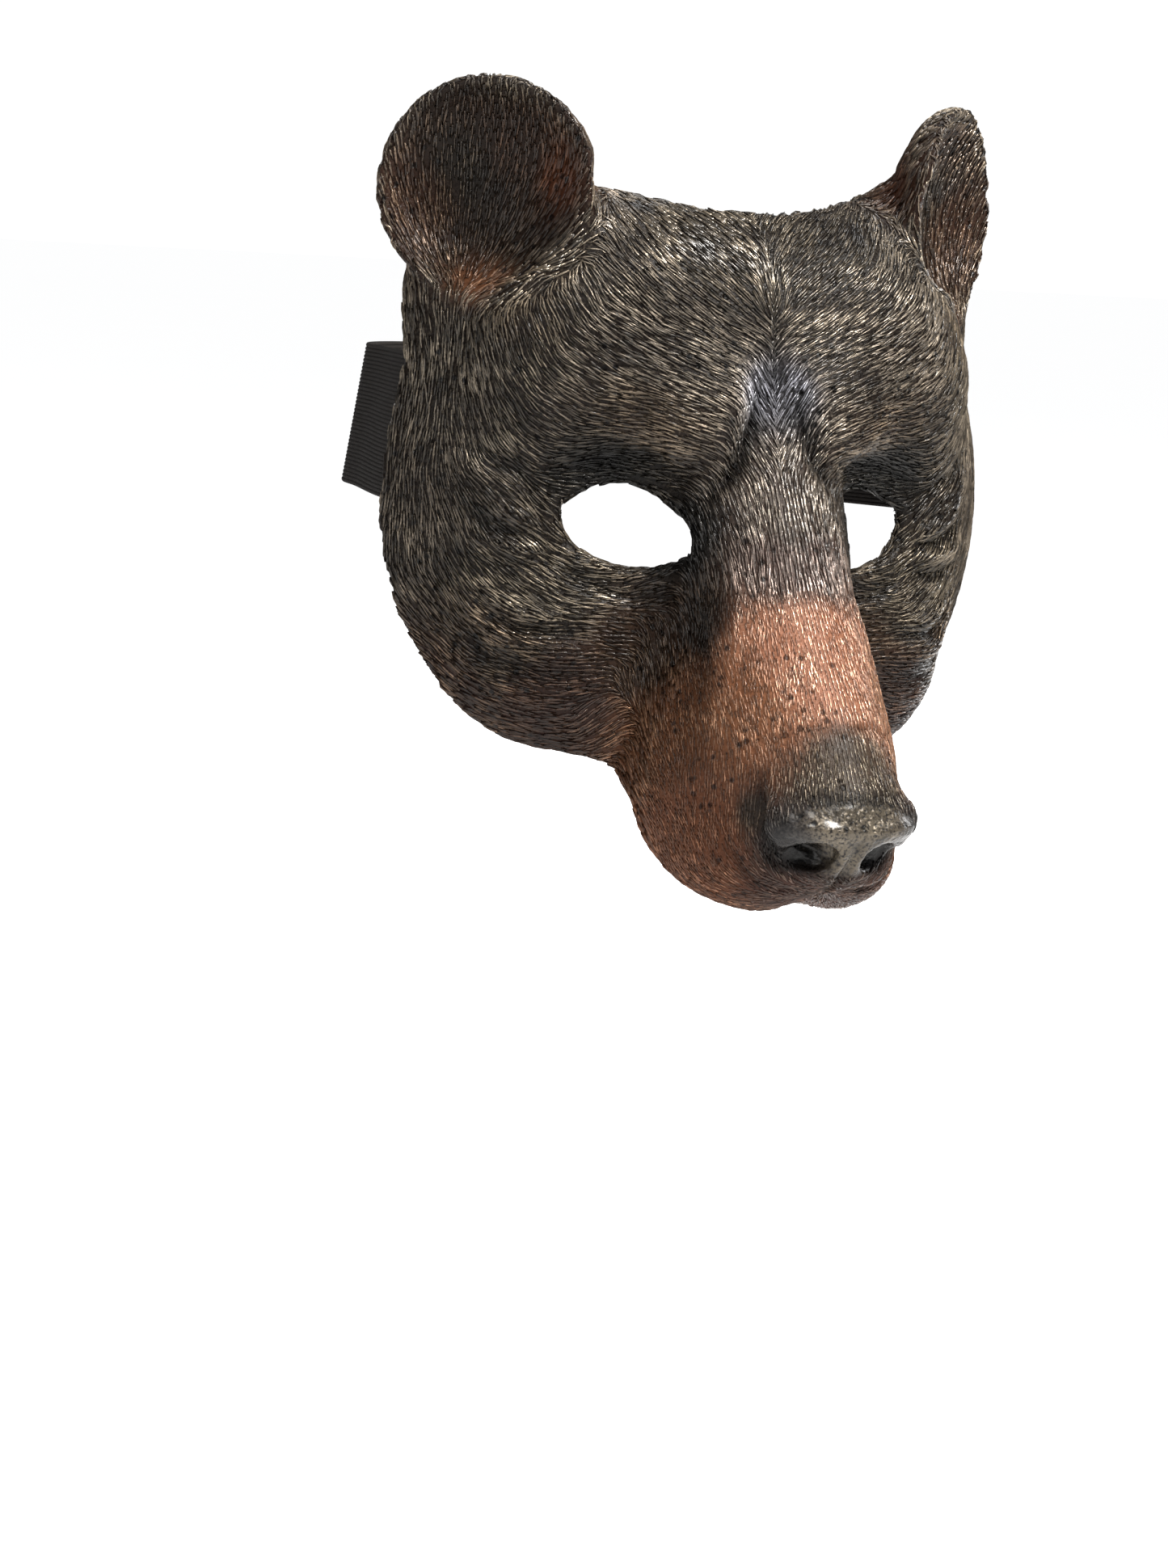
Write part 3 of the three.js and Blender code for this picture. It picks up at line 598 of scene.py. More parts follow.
class Nodes:
    """Short way to lay out the nodes of one tree."""

    def __init__(self, tree: bpy.types.NodeTree) -> None:
        """Takes the tree to fill."""
        self.tree = tree

    def fill(self, node: bpy.types.Node, inputs: dict) -> None:
        """Fills inputs of a node.

        Args:
            node: the node.
            inputs: value or source socket for each input, by name or number.
        """
        for key, value in inputs.items():
            if isinstance(value, Socket):
                self.tree.links.new(value, node.inputs[key])
            else:
                node.inputs[key].default_value = value

    def add(self, kind: str, inputs: dict | None = None, **settings: object) -> bpy.types.Node:
        """Adds a node.

        Args:
            kind: Blender's name of the node type, without ShaderNode at its start.
            inputs: what fills its inputs.
            **settings: other properties of the node.

        Returns:
            The new node.
        """
        node = self.tree.nodes.new(kind if kind.startswith("NodeGroup") else "ShaderNode" + kind)
        for name, value in settings.items():
            setattr(node, name, value)
        self.fill(node, inputs or {})
        return node

    def maths(self, operation: str, *values: object, clamp: bool = False) -> Socket:
        """Adds a Math node and gives its output."""
        return self.add("Math", dict(enumerate(values)), operation=operation, use_clamp=clamp).outputs[0]

    def times(self, first: object, second: object) -> Socket:
        """Multiplies two values."""
        return self.maths("MULTIPLY", first, second)

    def plus(self, first: object, second: object) -> Socket:
        """Adds two values."""
        return self.maths("ADD", first, second)

    def minus(self, first: object, second: object) -> Socket:
        """Takes the second value from the first."""
        return self.maths("SUBTRACT", first, second)

    def mix(self, share: object, first: object, second: object) -> Socket:
        """Adds a colour mix and gives its output."""
        return self.add("Mix", {0: share, 6: first, 7: second}, data_type="RGBA").outputs[2]

    def between(self, value: object, low: float, high: float) -> Socket:
        """Maps a value to 0 at low and 1 at high, smoothly."""
        inputs = {"Value": value, "From Min": low, "From Max": high}
        return self.add("MapRange", inputs, interpolation_type="SMOOTHSTEP").outputs[0]

    def place(self, name: str = "Object") -> Socket:
        """Gives the place of the surface in one kind of coordinates."""
        return self.add("TexCoord").outputs[name]

    def noise(self, place: Socket, scale: float, detail: float) -> Socket:
        """Adds a noise pattern and gives its value."""
        return self.add("TexNoise", {"Vector": place, "Scale": scale, "Detail": detail}).outputs[0]

    def stored(self, name: str, output: str = "Fac") -> Socket:
        """Reads what add_values stored under a name."""
        return self.add("Attribute", attribute_name=name).outputs[output]


def new_material(name: str) -> tuple[Material, Nodes, bpy.types.Node]:
    """Makes a material.

    Args:
        name: its name.

    Returns:
        The material, its tree and its shader.
    """
    material = bpy.data.materials.new(name)
    material.use_nodes = True
    return material, Nodes(material.node_tree), material.node_tree.nodes["Principled BSDF"]


def paint_group() -> bpy.types.NodeTree:
    """Builds the shared paint effect: ground paint, dry-brushed ridges, mottling and small dark pits.

    Returns:
        The node group, with the outputs Color, Roughness, Metallic and Height.
    """
    group = bpy.data.node_groups.new("BrushedPaint", "ShaderNodeTree")
    for name, kind, default in (
        ("Ground", "Color", (0.02, 0.015, 0.012, 1)),
        ("Brush", "Color", (0.3, 0.26, 0.19, 1)),
        ("Ridge", "Float", 0.5),
        ("Cover", "Float", 0.7),
    ):
        socket = group.interface.new_socket(name, in_out="INPUT", socket_type="NodeSocket" + kind)
        socket.default_value = default
    for name, kind in (("Color", "Color"), ("Roughness", "Float"), ("Metallic", "Float"), ("Height", "Float")):
        group.interface.new_socket(name, in_out="OUTPUT", socket_type="NodeSocket" + kind)
    tree = Nodes(group)
    source = tree.add("NodeGroupInput").outputs
    place = tree.place()
    patches = tree.noise(place, 70, 3)
    grain = tree.noise(place, 900, 4)
    pits = tree.add("TexVoronoi", {"Vector": place, "Scale": 210}).outputs[0]
    pit = tree.times(tree.between(pits, 0.28, 0.13), tree.between(tree.noise(place, 45, 1), 0.46, 0.56))
    touch = tree.maths("ADD", tree.times(patches, 2.4), -0.6, clamp=True)
    rough_edge = tree.plus(source["Ridge"], tree.times(tree.plus(grain, -0.5), 0.9))
    ridge = tree.times(tree.between(rough_edge, 0.44, 1.02), touch)
    cover = tree.maths("MULTIPLY", ridge, source["Cover"], clamp=True)
    cover = tree.times(cover, tree.minus(1.0, pit))
    dark = tree.minus(tree.plus(tree.times(grain, 0.9), 0.45), tree.times(pit, 0.6))
    ground = tree.add("VectorMath", {0: source["Ground"], 3: dark}, operation="SCALE").outputs[0]
    results = {
        "Color": tree.mix(cover, ground, source["Brush"]),
        "Roughness": tree.minus(tree.plus(tree.times(grain, 0.24), 0.24), tree.times(cover, 0.1)),
        "Metallic": tree.times(cover, 0.75),
        "Height": tree.minus(tree.times(grain, 0.3), tree.times(pit, 1.5)),
    }
    tree.add("NodeGroupOutput", results)
    return group


@dataclass(frozen=True)
class PaintFinish:
    """Painted and varnished surface: strokes are varnished all over, the shell on its bare nose alone."""

    name: str
    cover: float
    coat: float
    specular: float
    on_strokes: bool
    lanes: Point = (0.12, 2.2, 1.0)
    bump_depth: float = 0.0004
    bump_strength: float = 0.7
    coat_roughness: float = 0.16

    def build(self, group: bpy.types.NodeTree) -> Material:
        """Makes the material.

        Args:
            group: the shared paint effect.

        Returns:
            The material.
        """
        material, tree, shader = new_material(self.name)
        place, cover, coat = tree.place(), self.cover, self.coat
        if self.on_strokes:
            lanes = tree.add("Mapping", {"Vector": tree.place("UV"), "Scale": self.lanes}).outputs[0]
            hairs = tree.noise(lanes, 1, 2)
            ridge = tree.plus(tree.stored("crest"), tree.times(tree.plus(hairs, -0.5), 0.9))
        else:
            bare = tree.stored("bare")
            hairs = tree.noise(place, 1100, 3)
            ridge = tree.times(tree.times(hairs, tree.plus(tree.times(bare, 0.55), 1.1)), tree.stored("outer"))
            cover, coat = tree.plus(tree.times(bare, 0.5), cover), tree.times(bare, coat)
        inputs = {"Ground": tree.stored("ground", "Color"), "Brush": tree.stored("brush", "Color")}
        paint = tree.add("Group", {**inputs, "Ridge": ridge, "Cover": cover}, node_tree=group).outputs
        height, rough = tree.plus(paint["Height"], hairs), paint["Roughness"]
        if not self.on_strokes:
            inputs = {"Vector": place, "Scale": 620, "Smoothness": 0.35}
            pebbles = tree.add("TexVoronoi", inputs, feature="SMOOTH_F1").outputs[0]
            height = tree.plus(height, tree.times(tree.minus(0.6, pebbles), tree.times(bare, 1.4)))
            rough = tree.minus(rough, tree.times(bare, 0.1))
        bump = {"Height": height, "Strength": self.bump_strength, "Distance": self.bump_depth}
        tree.fill(shader, {
            "Base Color": paint["Color"],
            "Roughness": rough,
            "Metallic": paint["Metallic"],
            "Normal": tree.add("Bump", bump).outputs[0],
            "Coat Weight": coat,
            "Coat Roughness": self.coat_roughness,
            "Specular IOR Level": self.specular,
        })
        return material


@dataclass(frozen=True)
class ElasticFinish:
    """Matt ribbed elastic, dark brown-black."""

    name: str = "ribbed_elastic"
    colour: Colour = (0.0095, 0.007, 0.0056)
    thread: float = 1500.0
    specular: float = 0.25

    def build(self) -> Material:
        """Makes the material, with its thread pattern on the piece's own map.

        Returns:
            The material.
        """
        material, tree, shader = new_material(self.name)
        inputs = {"Vector": tree.place("UV"), "Scale": self.thread, "Distortion": 1.5, "Detail": 1}
        threads = tree.add("TexWave", inputs, bands_direction="X").outputs["Fac"]
        fuzz = tree.noise(tree.place(), 700, 3)
        # The rib tops are paler as painted highlight, mixed with a random fuzz in tone.
        light = tree.plus(tree.times(tree.stored("rib"), 0.6), tree.times(fuzz, 0.7))
        dark, pale = ((*[c * share for c in self.colour], 1) for share in (0.45, 1.7))
        height = tree.plus(tree.times(threads, 0.5), tree.times(fuzz, 0.4))
        bump = {"Height": height, "Strength": 0.6, "Distance": 0.0003}
        tree.fill(shader, {
            "Base Color": tree.mix(light, dark, pale),
            "Roughness": tree.plus(tree.times(fuzz, 0.2), 0.7),
            "Normal": tree.add("Bump", bump).outputs[0],
            "Specular IOR Level": self.specular,
        })
        return material


@dataclass
class CastShell:
    """The cast shell: a fine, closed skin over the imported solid, with its folds carved in."""

    node: str = "mask_shell"
    voxel: float = 1.45
    smoothing: int = 14
    keep: tuple[float, ...] = (0.55, -0.57)
    # Middle, move and reach of each push that leads the crown up to the ear in a long curve.
    root_pushes: tuple[tuple[Point, Point, float], ...] = (
        ((55.0, 49.0, 82.0), (0.0, 0.0, -5.4), 12.0),
        ((64.5, 40.0, 82.0), (-0.6, 0.0, 5.0), 9.0),
    )
    # Rounds, pushes, middle and reach of each place that is evened out on both sides: ear, eye hole, ear foot.
    evenings: tuple[tuple[int, tuple[float, ...], Point, float], ...] = (
        (70, (0.55, -0.57), (88.5, 39.0, 74.5), 46.0),
        (90, (0.55, -0.57), (44.5, 15.0, -31.5), 33.0),
        (110, (0.5,), (61.0, 24.0, 66.0), 24.0),
    )
    # Directions from which the painted face is seen, and the start of each look in metres off the skin.
    looks: tuple[Point, ...] = ((0, -1, 0), (0.7, -1, 0.2), (-0.7, -1, 0.2), (0, -1, 0.8), (0, -1, -0.8))
    look_start: float = 0.0012
    least_turn: float = -0.2
    least_ear: float = 0.4
    inside_paint: Colour = (0.022, 0.016, 0.013)
    nose_middle: Point = (0.0, -63.0, -124.0)
    nose_reach: Point = (26.0, 15.0, 13.5)
    nose_edge: tuple[float, float] = (0.85, 1.1)
    nostril: Point = (13.5, -62.0, -131.0)
    nostril_reach: float = 12.0
    nostril_size: tuple[float, float] = (7.0, 4.4)
    nostril_slope: float = 0.12
    nostril_depths: tuple[float, float] = (9.0, 14.0)
    nostril_push: Point = (-0.8, 5.0, 2.0)
    carving: Carving = field(default_factory=Carving)
    painting: Painting = field(default_factory=Painting)
    ear: Ear = field(default_factory=Ear)

    def skin(self) -> Piece:
        """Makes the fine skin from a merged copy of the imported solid.

        Returns:
            The skin, not carved yet.
        """
        make_active(frame["nodes"][self.node])
        bpy.ops.object.duplicate()
        piece = bpy.context.object
        piece.name = "painted_shell"
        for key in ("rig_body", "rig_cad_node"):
            if key in piece:
                del piece[key]
        piece.parent = None
        piece.matrix_world = Matrix.Identity(4)
        piece.data.materials.clear()
        with editing():
            bpy.ops.mesh.remove_doubles(threshold=1e-6)
        remesh = piece.modifiers.new("Remesh", "REMESH")
        remesh.mode = "VOXEL"
        remesh.voxel_size = self.voxel * MM
        bpy.ops.object.modifier_apply(modifier=remesh.name)
        for layer in list(piece.data.uv_layers):
            piece.data.uv_layers.remove(layer)
        return piece

    def relax(self, piece: Piece, rounds: int, pushes: tuple[float, ...], share: Array | None = None) -> None:
        """Evens out the skin.

        Args:
            piece: the skin.
            rounds: how many times it is gone over.
            pushes: how far points move towards their neighbours; a negative one gives back what a round takes off.
            share: how much each point takes part, or none for all of it.
        """
        points = read_points(piece)
        part = 1.0 if share is None else share[:, None]
        ends = edge_ends(piece)
        count = neighbour_total(np.ones(len(points)), ends)[:, None]
        for _ in range(rounds):
            for push in pushes:
                total = np.stack([neighbour_total(points[:, axis], ends) for axis in range(3)], axis=1)
                points = points + push * part * (total / count - points)
        write_points(piece, points)

    def near(self, piece: Piece, middle: Point, reach: float) -> Array:
        """Says how far each point lies in a ball, fading out over its outer third."""
        away = lengths(folded(read_points(piece)) - np.array(middle))
        return 1 - smooth_step(reach * 0.67, reach, away)

    def outer_share(self, piece: Piece) -> Array:
        """Says for each point whether it is on the painted face, 1, or in the hollow, 0.

        Args:
            piece: the skin.

        Returns:
            One number for each point.
        """
        tree = BVHTree.FromObject(piece, bpy.context.evaluated_depsgraph_get())
        points = read_points(piece)
        normals = point_normals(piece)
        looks = [Vector(look).normalized() for look in self.looks]
        share = np.zeros(len(points))
        ear = self.ear.share(folded(points))
        for i, (point, normal) in enumerate(zip(points, normals)):
            start = Vector(point * MM) + Vector(normal) * self.look_start
            for look in looks:
                if look.dot(Vector(normal)) > self.least_turn and tree.ray_cast(start, look)[0] is None:
                    share[i] = 1
                    break
        nose = lengths(folded(points) - np.array(self.nostril)) < self.nostril_reach
        share = np.where((ear > self.least_ear) | nose, 1.0, share)
        ends = edge_ends(piece)
        count = neighbour_total(np.ones(len(points)), ends)
        for _ in range(3):
            share = (share + neighbour_total(share, ends)) / (1 + count)
        return share

    def ball_push(self, points: Array, middle: Point, push: Point, reach: float) -> Array:
        """Gives how points move when the skin is pushed round one place on each side.

        Args:
            points: places on the skin.
            middle: the place, on the folded side.
            push: the move at its middle, on that side.
            reach: how far it is felt.

        Returns:
            One move for each point.
        """
        away = lengths(folded(points) - np.array(middle))
        return mirrored(np.exp(-((away / reach) ** 2))[:, None] * np.array(push), points)

    def nostril_hollow(self, points: Array) -> Array:
        """Gives how points move to widen and deepen the nostrils.

        Args:
            points: places on the skin.

        Returns:
            One move for each point.
        """
        offset = folded(points) - np.array(self.nostril)
        wide, high = self.nostril_size
        slope = offset[:, 2] - self.nostril_slope * offset[:, 0]
        share = np.exp(-(((offset[:, 0] / wide) ** 2 + (slope / high) ** 2) ** 2))
        share *= 1 - smooth_step(*self.nostril_depths, np.abs(offset[:, 1]))
        return mirrored(share[:, None] * np.array(self.nostril_push), points)

    def bare_share(self, points: Array) -> Array:
        """Says how far each point belongs to the bare nose, from 0 to 1."""
        offset = (folded(points) - np.array(self.nose_middle)) / np.array(self.nose_reach)
        return 1 - smooth_step(*self.nose_edge, lengths(offset))

    def build(self, finish: Material) -> Piece:
        """Makes the painted shell.

        Args:
            finish: its material.

        Returns:
            The finished piece.
        """
        piece = self.skin()
        self.relax(piece, self.smoothing, self.keep)
        points = self.ear.hollowed(read_points(piece), point_normals(piece))
        points += self.nostril_hollow(points)
        points += sum(self.ball_push(points, *push) for push in self.root_pushes)
        write_points(piece, points)
        for rounds, pushes, middle, reach in self.evenings:
            self.relax(piece, rounds, pushes, self.near(piece, middle, reach))
        outer = self.outer_share(piece)
        self.carving.settle(BVHTree.FromObject(piece, bpy.context.evaluated_depsgraph_get()))
        points = read_points(piece)
        lift = self.carving.height(points) * np.clip(outer * 1.4 - 0.2, 0, 1)
        write_points(piece, points + point_normals(piece) * lift[:, None])
        points = read_points(piece)
        ground, brush = self.painting.colours(points, self.carving)
        inside = np.array(self.inside_paint)
        ground = inside + (ground - inside) * outer[:, None]
        bare = self.bare_share(points) * outer
        for name, values in (("ground", ground), ("brush", brush), ("outer", outer), ("bare", bare)):
            add_values(piece, name, values)
        piece.data.materials.append(finish)
        make_active(piece)
        bpy.ops.object.shade_smooth()
        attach(piece, "root")
        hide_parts(self.node)
        return piece


@dataclass(frozen=True)
class StrokeKind:
    """Size of the carved strokes of one fur area, and the gap from one to the next."""

    part: Part
    gap: float
    length: float
    width: float
    height: float


@dataclass
class FurStrokes:
    """Carved fur: short ridges with blunt ends, laid along the combing over the painted shell."""

    shell: CastShell
    combing: Combing = field(default_factory=Combing)
    kinds: tuple[StrokeKind, ...] = (
        StrokeKind(Part.FOREHEAD, 1.95, 12.0, 0.95, 0.8),
        StrokeKind(Part.CHEEKS, 1.95, 12.0, 0.95, 0.8),
        StrokeKind(Part.MUZZLE, 1.6, 6.0, 0.75, 0.45),
        StrokeKind(Part.EARS, 2.15, 11.0, 1.05, 0.75),
    )
    cuts: int = 5
    lid_gap: float = 1.2
    seed: int = 11
    # Strokes start where the skin is on the painted face and off the bare nose by these shares.
    outer_least: float = 0.88
    bare_most: float = 0.25
    # Scatter of length, width and height as shares, of drift, and of tone with its limits.
    length_range: tuple[float, float] = (0.65, 1.35)
    width_range: tuple[float, float] = (0.7, 1.3)
    height_range: tuple[float, float] = (0.55, 1.25)
    drift: float = 0.07
    tone: tuple[float, float] = (-0.12, 0.55)
    tone_range: tuple[float, float] = (0.25, 2.2)
    # Share of the height from the foot of a stroke to its crest, and how deep the foot is sunk.
    crest_share: float = 1.25
    sink: float = 0.3
    slimness: float = 0.6
    # Borders of the fur areas: share of the ear, height under the brow, and two corners of the muzzle.
    ear_least: float = 0.35
    brow_height: float = -16.0
    muzzle_front: tuple[float, float] = (-8.0, -48.0)
    muzzle_low: tuple[float, float] = (36.0, -92.0)
    # The bake map is wound off from this place behind the mask, over this angle.
    wound_from: float = 140.0
    wound_angle: float = 1.9

    def template(self) -> tuple[Array, Array]:
        """Models one stroke: a three-sided bar with four rings, its end caps folded in to one point on its base.

        The ring of the last cut is still selected at the first merge, so it is drawn into the same point as the
        foot end. The tip is left as a single point without a face.

        Returns:
            Points as place along the stroke, sideways share and height share, and the triangles.
        """
        deselect_all()
        bpy.ops.mesh.primitive_cylinder_add(
            vertices=3, radius=1, depth=1, end_fill_type="NOTHING", location=(0, 0, 0.5)
        )
        piece = bpy.context.object
        bpy.ops.object.transform_apply(location=True)
        with editing():
            for i in range(1, self.cuts + 1):
                bpy.ops.mesh.select_all(action="SELECT")
                bpy.ops.mesh.bisect(plane_co=(0, 0, i / (self.cuts + 1)), plane_no=(0, 0, 1))
        for end in (0.0, 1.0):
            for vertex in piece.data.vertices:
                vertex.select = abs(vertex.co.z - end) < 1e-4
            bpy.ops.object.mode_set(mode="EDIT")
            bpy.ops.mesh.select_mode(type="VERT")
            bpy.ops.mesh.merge(type="CENTER")
            bpy.ops.mesh.select_all(action="DESELECT")
            bpy.ops.object.mode_set(mode="OBJECT")
        with editing():
            bpy.ops.mesh.quads_convert_to_tris()
            bpy.ops.mesh.normals_make_consistent(inside=False)
        points = read_points(piece) * MM
        triangles = np.array([tuple(face.vertices) for face in piece.data.polygons])
        bpy.data.objects.remove(piece)
        angle = np.arctan2(points[:, 0], points[:, 1])
        tip = np.hypot(points[:, 0], points[:, 1]) < 0.3
        crest = (np.abs(angle) < 0.5) & ~tip
        side = np.where(tip | crest, 0.0, np.sign(points[:, 0]))
        return np.stack([points[:, 2], side, crest.astype(float)], axis=1), triangles

    def part_of(self, points: Array) -> Array:
        """Says which fur area each point is in.

        Args:
            points: places on the mask.

        Returns:
            Number of the area of each point, in the order of the kinds.
        """
        near = folded(points)
        ear = self.shell.ear.share(near) > self.ear_least
        front, low = self.muzzle_front, self.muzzle_low
        muzzle = (near[:, 1] < front[0]) & (near[:, 2] < front[1]) | (near[:, 0] < low[0]) & (near[:, 2] < low[1])
        upper = near[:, 2] > self.brow_height
        order = [kind.part for kind in self.kinds]
        found = np.where(upper, order.index(Part.FOREHEAD), order.index(Part.CHEEKS))
        found = np.where(muzzle, order.index(Part.MUZZLE), found)
        return np.where(ear, order.index(Part.EARS), found)

    def seeds(self, skin: Piece, gap: float, wanted: int, rng: np.random.Generator) -> Array:
        """Scatters starting places evenly over one fur area.

        Args:
            skin: the painted shell.
            gap: distance from one place to the next, in millimetres.
            wanted: number of the fur area.
            rng: source of the scatter.

        Returns:
            Places on the painted face, in millimetres.
        """
        points = read_points(skin)
        good = (read_values(skin, "outer") > self.outer_least) & (read_values(skin, "bare") < self.bare_most)
        good &= (self.shell.carving.lid_distance(points) > self.lid_gap) & (self.part_of(points) == wanted)
        places = points[good]
        places = places[rng.permutation(len(places))]
        cell = np.floor(places / gap).astype(int)
        _, first = np.unique(cell, axis=0, return_index=True)
        return places[np.sort(first)]

    def trace(self, tree: BVHTree, starts: Array, length: Array, turn: Array) -> tuple:
        """Follows the combing over the surface.

        Args:
            tree: surface of the painted shell.
            starts: middle place of each stroke, in millimetres.
            length: length of each stroke, in millimetres.
            turn: sideways drift of each stroke, as a share of its way.

        Returns:
            Places and normals at each station of each stroke.
        """
        stations = self.cuts + 2
        middle = (stations - 1) // 2

        def settle(points: Array) -> tuple[Array, Array]:
            """Brings points onto the surface, with its normals."""
            found = [tree.find_nearest(Vector(point * MM)) for point in points]
            return np.array([hit[0] for hit in found]) / MM, np.array([hit[1] for hit in found])

        places = np.zeros((len(starts), stations, 3))
        normals = np.zeros_like(places)
        base, base_normal = settle(starts)
        places[:, middle], normals[:, middle] = base, base_normal
        for sign in (1, -1):
            point, normal = base, base_normal
            way = None
            for k in range(1, middle + 1):
                fresh = self.combing.direction(point, normal)
                fresh += turn[:, None] * np.cross(normal, fresh)
                fresh *= sign if way is None else np.where((fresh * way).sum(1) < 0, -1.0, 1.0)[:, None]
                way = fresh
                point, normal = settle(point + way * (length / (stations - 1))[:, None])
                places[:, middle + sign * k], normals[:, middle + sign * k] = point, normal
        return places, normals

    def build(self, skin: Piece, finish: Material) -> list[Piece]:
        """Makes one joined piece of strokes for each fur area.

        Args:
            skin: the painted shell.
            finish: material of the fur.

        Returns:
            The finished pieces.
        """
        shape, triangles = self.template()
        tree = BVHTree.FromObject(skin, bpy.context.evaluated_depsgraph_get())
        rng = np.random.default_rng(self.seed)
        stations = self.cuts + 2
        step = np.rint(shape[:, 0] * (stations - 1)).astype(int)
        slim = np.sin(math.pi * np.clip(shape[:, 0], 0.0, 1.0)) ** self.slimness
        made = []
        for number, kind in enumerate(self.kinds):
            starts = self.seeds(skin, kind.gap, number, rng)
            count = len(starts)
            length = kind.length * rng.uniform(*self.length_range, count)
            width = kind.width * rng.uniform(*self.width_range, count)
            height = kind.height * rng.uniform(*self.height_range, count)
            places, normals = self.trace(tree, starts, length, rng.normal(0, self.drift, count))
            ways = np.gradient(places, axis=1)
            ways /= np.linalg.norm(ways, axis=2)[..., None] + 1e-9
            sides = np.cross(normals, ways)
            sideways = sides[:, step] * (shape[:, 1] * slim)[None, :, None] * (width / 2)[:, None, None]
            lift = shape[:, 2] * slim * self.crest_share - self.sink
            upward = normals[:, step] * lift[None, :, None] * height[:, None, None]
            points = (places[:, step] + sideways + upward).reshape(-1, 3)
            offset = (np.arange(count) * len(shape))[:, None, None]
            faces = (triangles[None] + offset).reshape(-1, 3)
            made.append(self.joined(kind, points, faces, shape, length, width, rng, finish))
            LOG.info("%s: %d strokes, %d triangles", kind.part.value, count, len(faces))
        return made

    def joined(
        self, kind: StrokeKind, points: Array, faces: Array, shape: Array, length: Array,
        width: Array, rng: np.random.Generator, finish: Material,
    ) -> Piece:
        """Makes the piece of one fur area from the points of all its strokes.

        Args:
            kind: the fur area.
            points: points of all strokes, in millimetres.
            faces: triangles of all strokes.
            shape: points of the single stroke.
            length: length of each stroke.
            width: width of each stroke.
            rng: source of the scatter of the hair lines.
            finish: material of the fur.

        Returns:
            The finished piece.
        """
        mesh = bpy.data.meshes.new(kind.part.value)
        mesh.from_pydata((points * MM).tolist(), [], faces.tolist())
        piece = bpy.data.objects.new(kind.part.value, mesh)
        bpy.context.scene.collection.objects.link(piece)
        count = len(length)
        add_values(piece, "crest", np.tile(shape[:, 2], count))
        ground, brush = self.shell.painting.colours(points, self.shell.carving)
        tone = np.repeat(np.exp(rng.normal(*self.tone, count)).clip(*self.tone_range), len(shape))[:, None]
        add_values(piece, "ground", ground * np.sqrt(tone))
        add_values(piece, "brush", brush * tone)
        lane = rng.uniform(0, 900, count)
        u = (shape[None, :, 0] * length[:, None] + lane[:, None]).ravel()
        v = (shape[None, :, 1] * width[:, None] / 2 + lane[::-1, None]).ravel()
        corners = faces.ravel()
        hair_map = mesh.uv_layers.new(name="UVMap")
        hair_map.uv.foreach_set("vector", np.stack([u[corners], v[corners]], axis=1).astype(np.float32).ravel())
        low, high = points.min(0), points.max(0)
        turned = np.arctan2(points[:, 0], self.wound_from - points[:, 1])
        flat = np.stack([turned / self.wound_angle + 0.5, (points[:, 2] - low[2]) / (high[2] - low[2] + 1e-6)], axis=1)
        bake_map = mesh.uv_layers.new(name="OFBake")
        bake_map.uv.foreach_set("vector", flat[corners].clip(0.002, 0.998).astype(np.float32).ravel())
        mesh.uv_layers.active = hair_map
        hair_map.active_render = True
        mesh.materials.append(finish)
        make_active(piece)
        bpy.ops.object.shade_smooth()
        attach(piece, "root")
        return piece


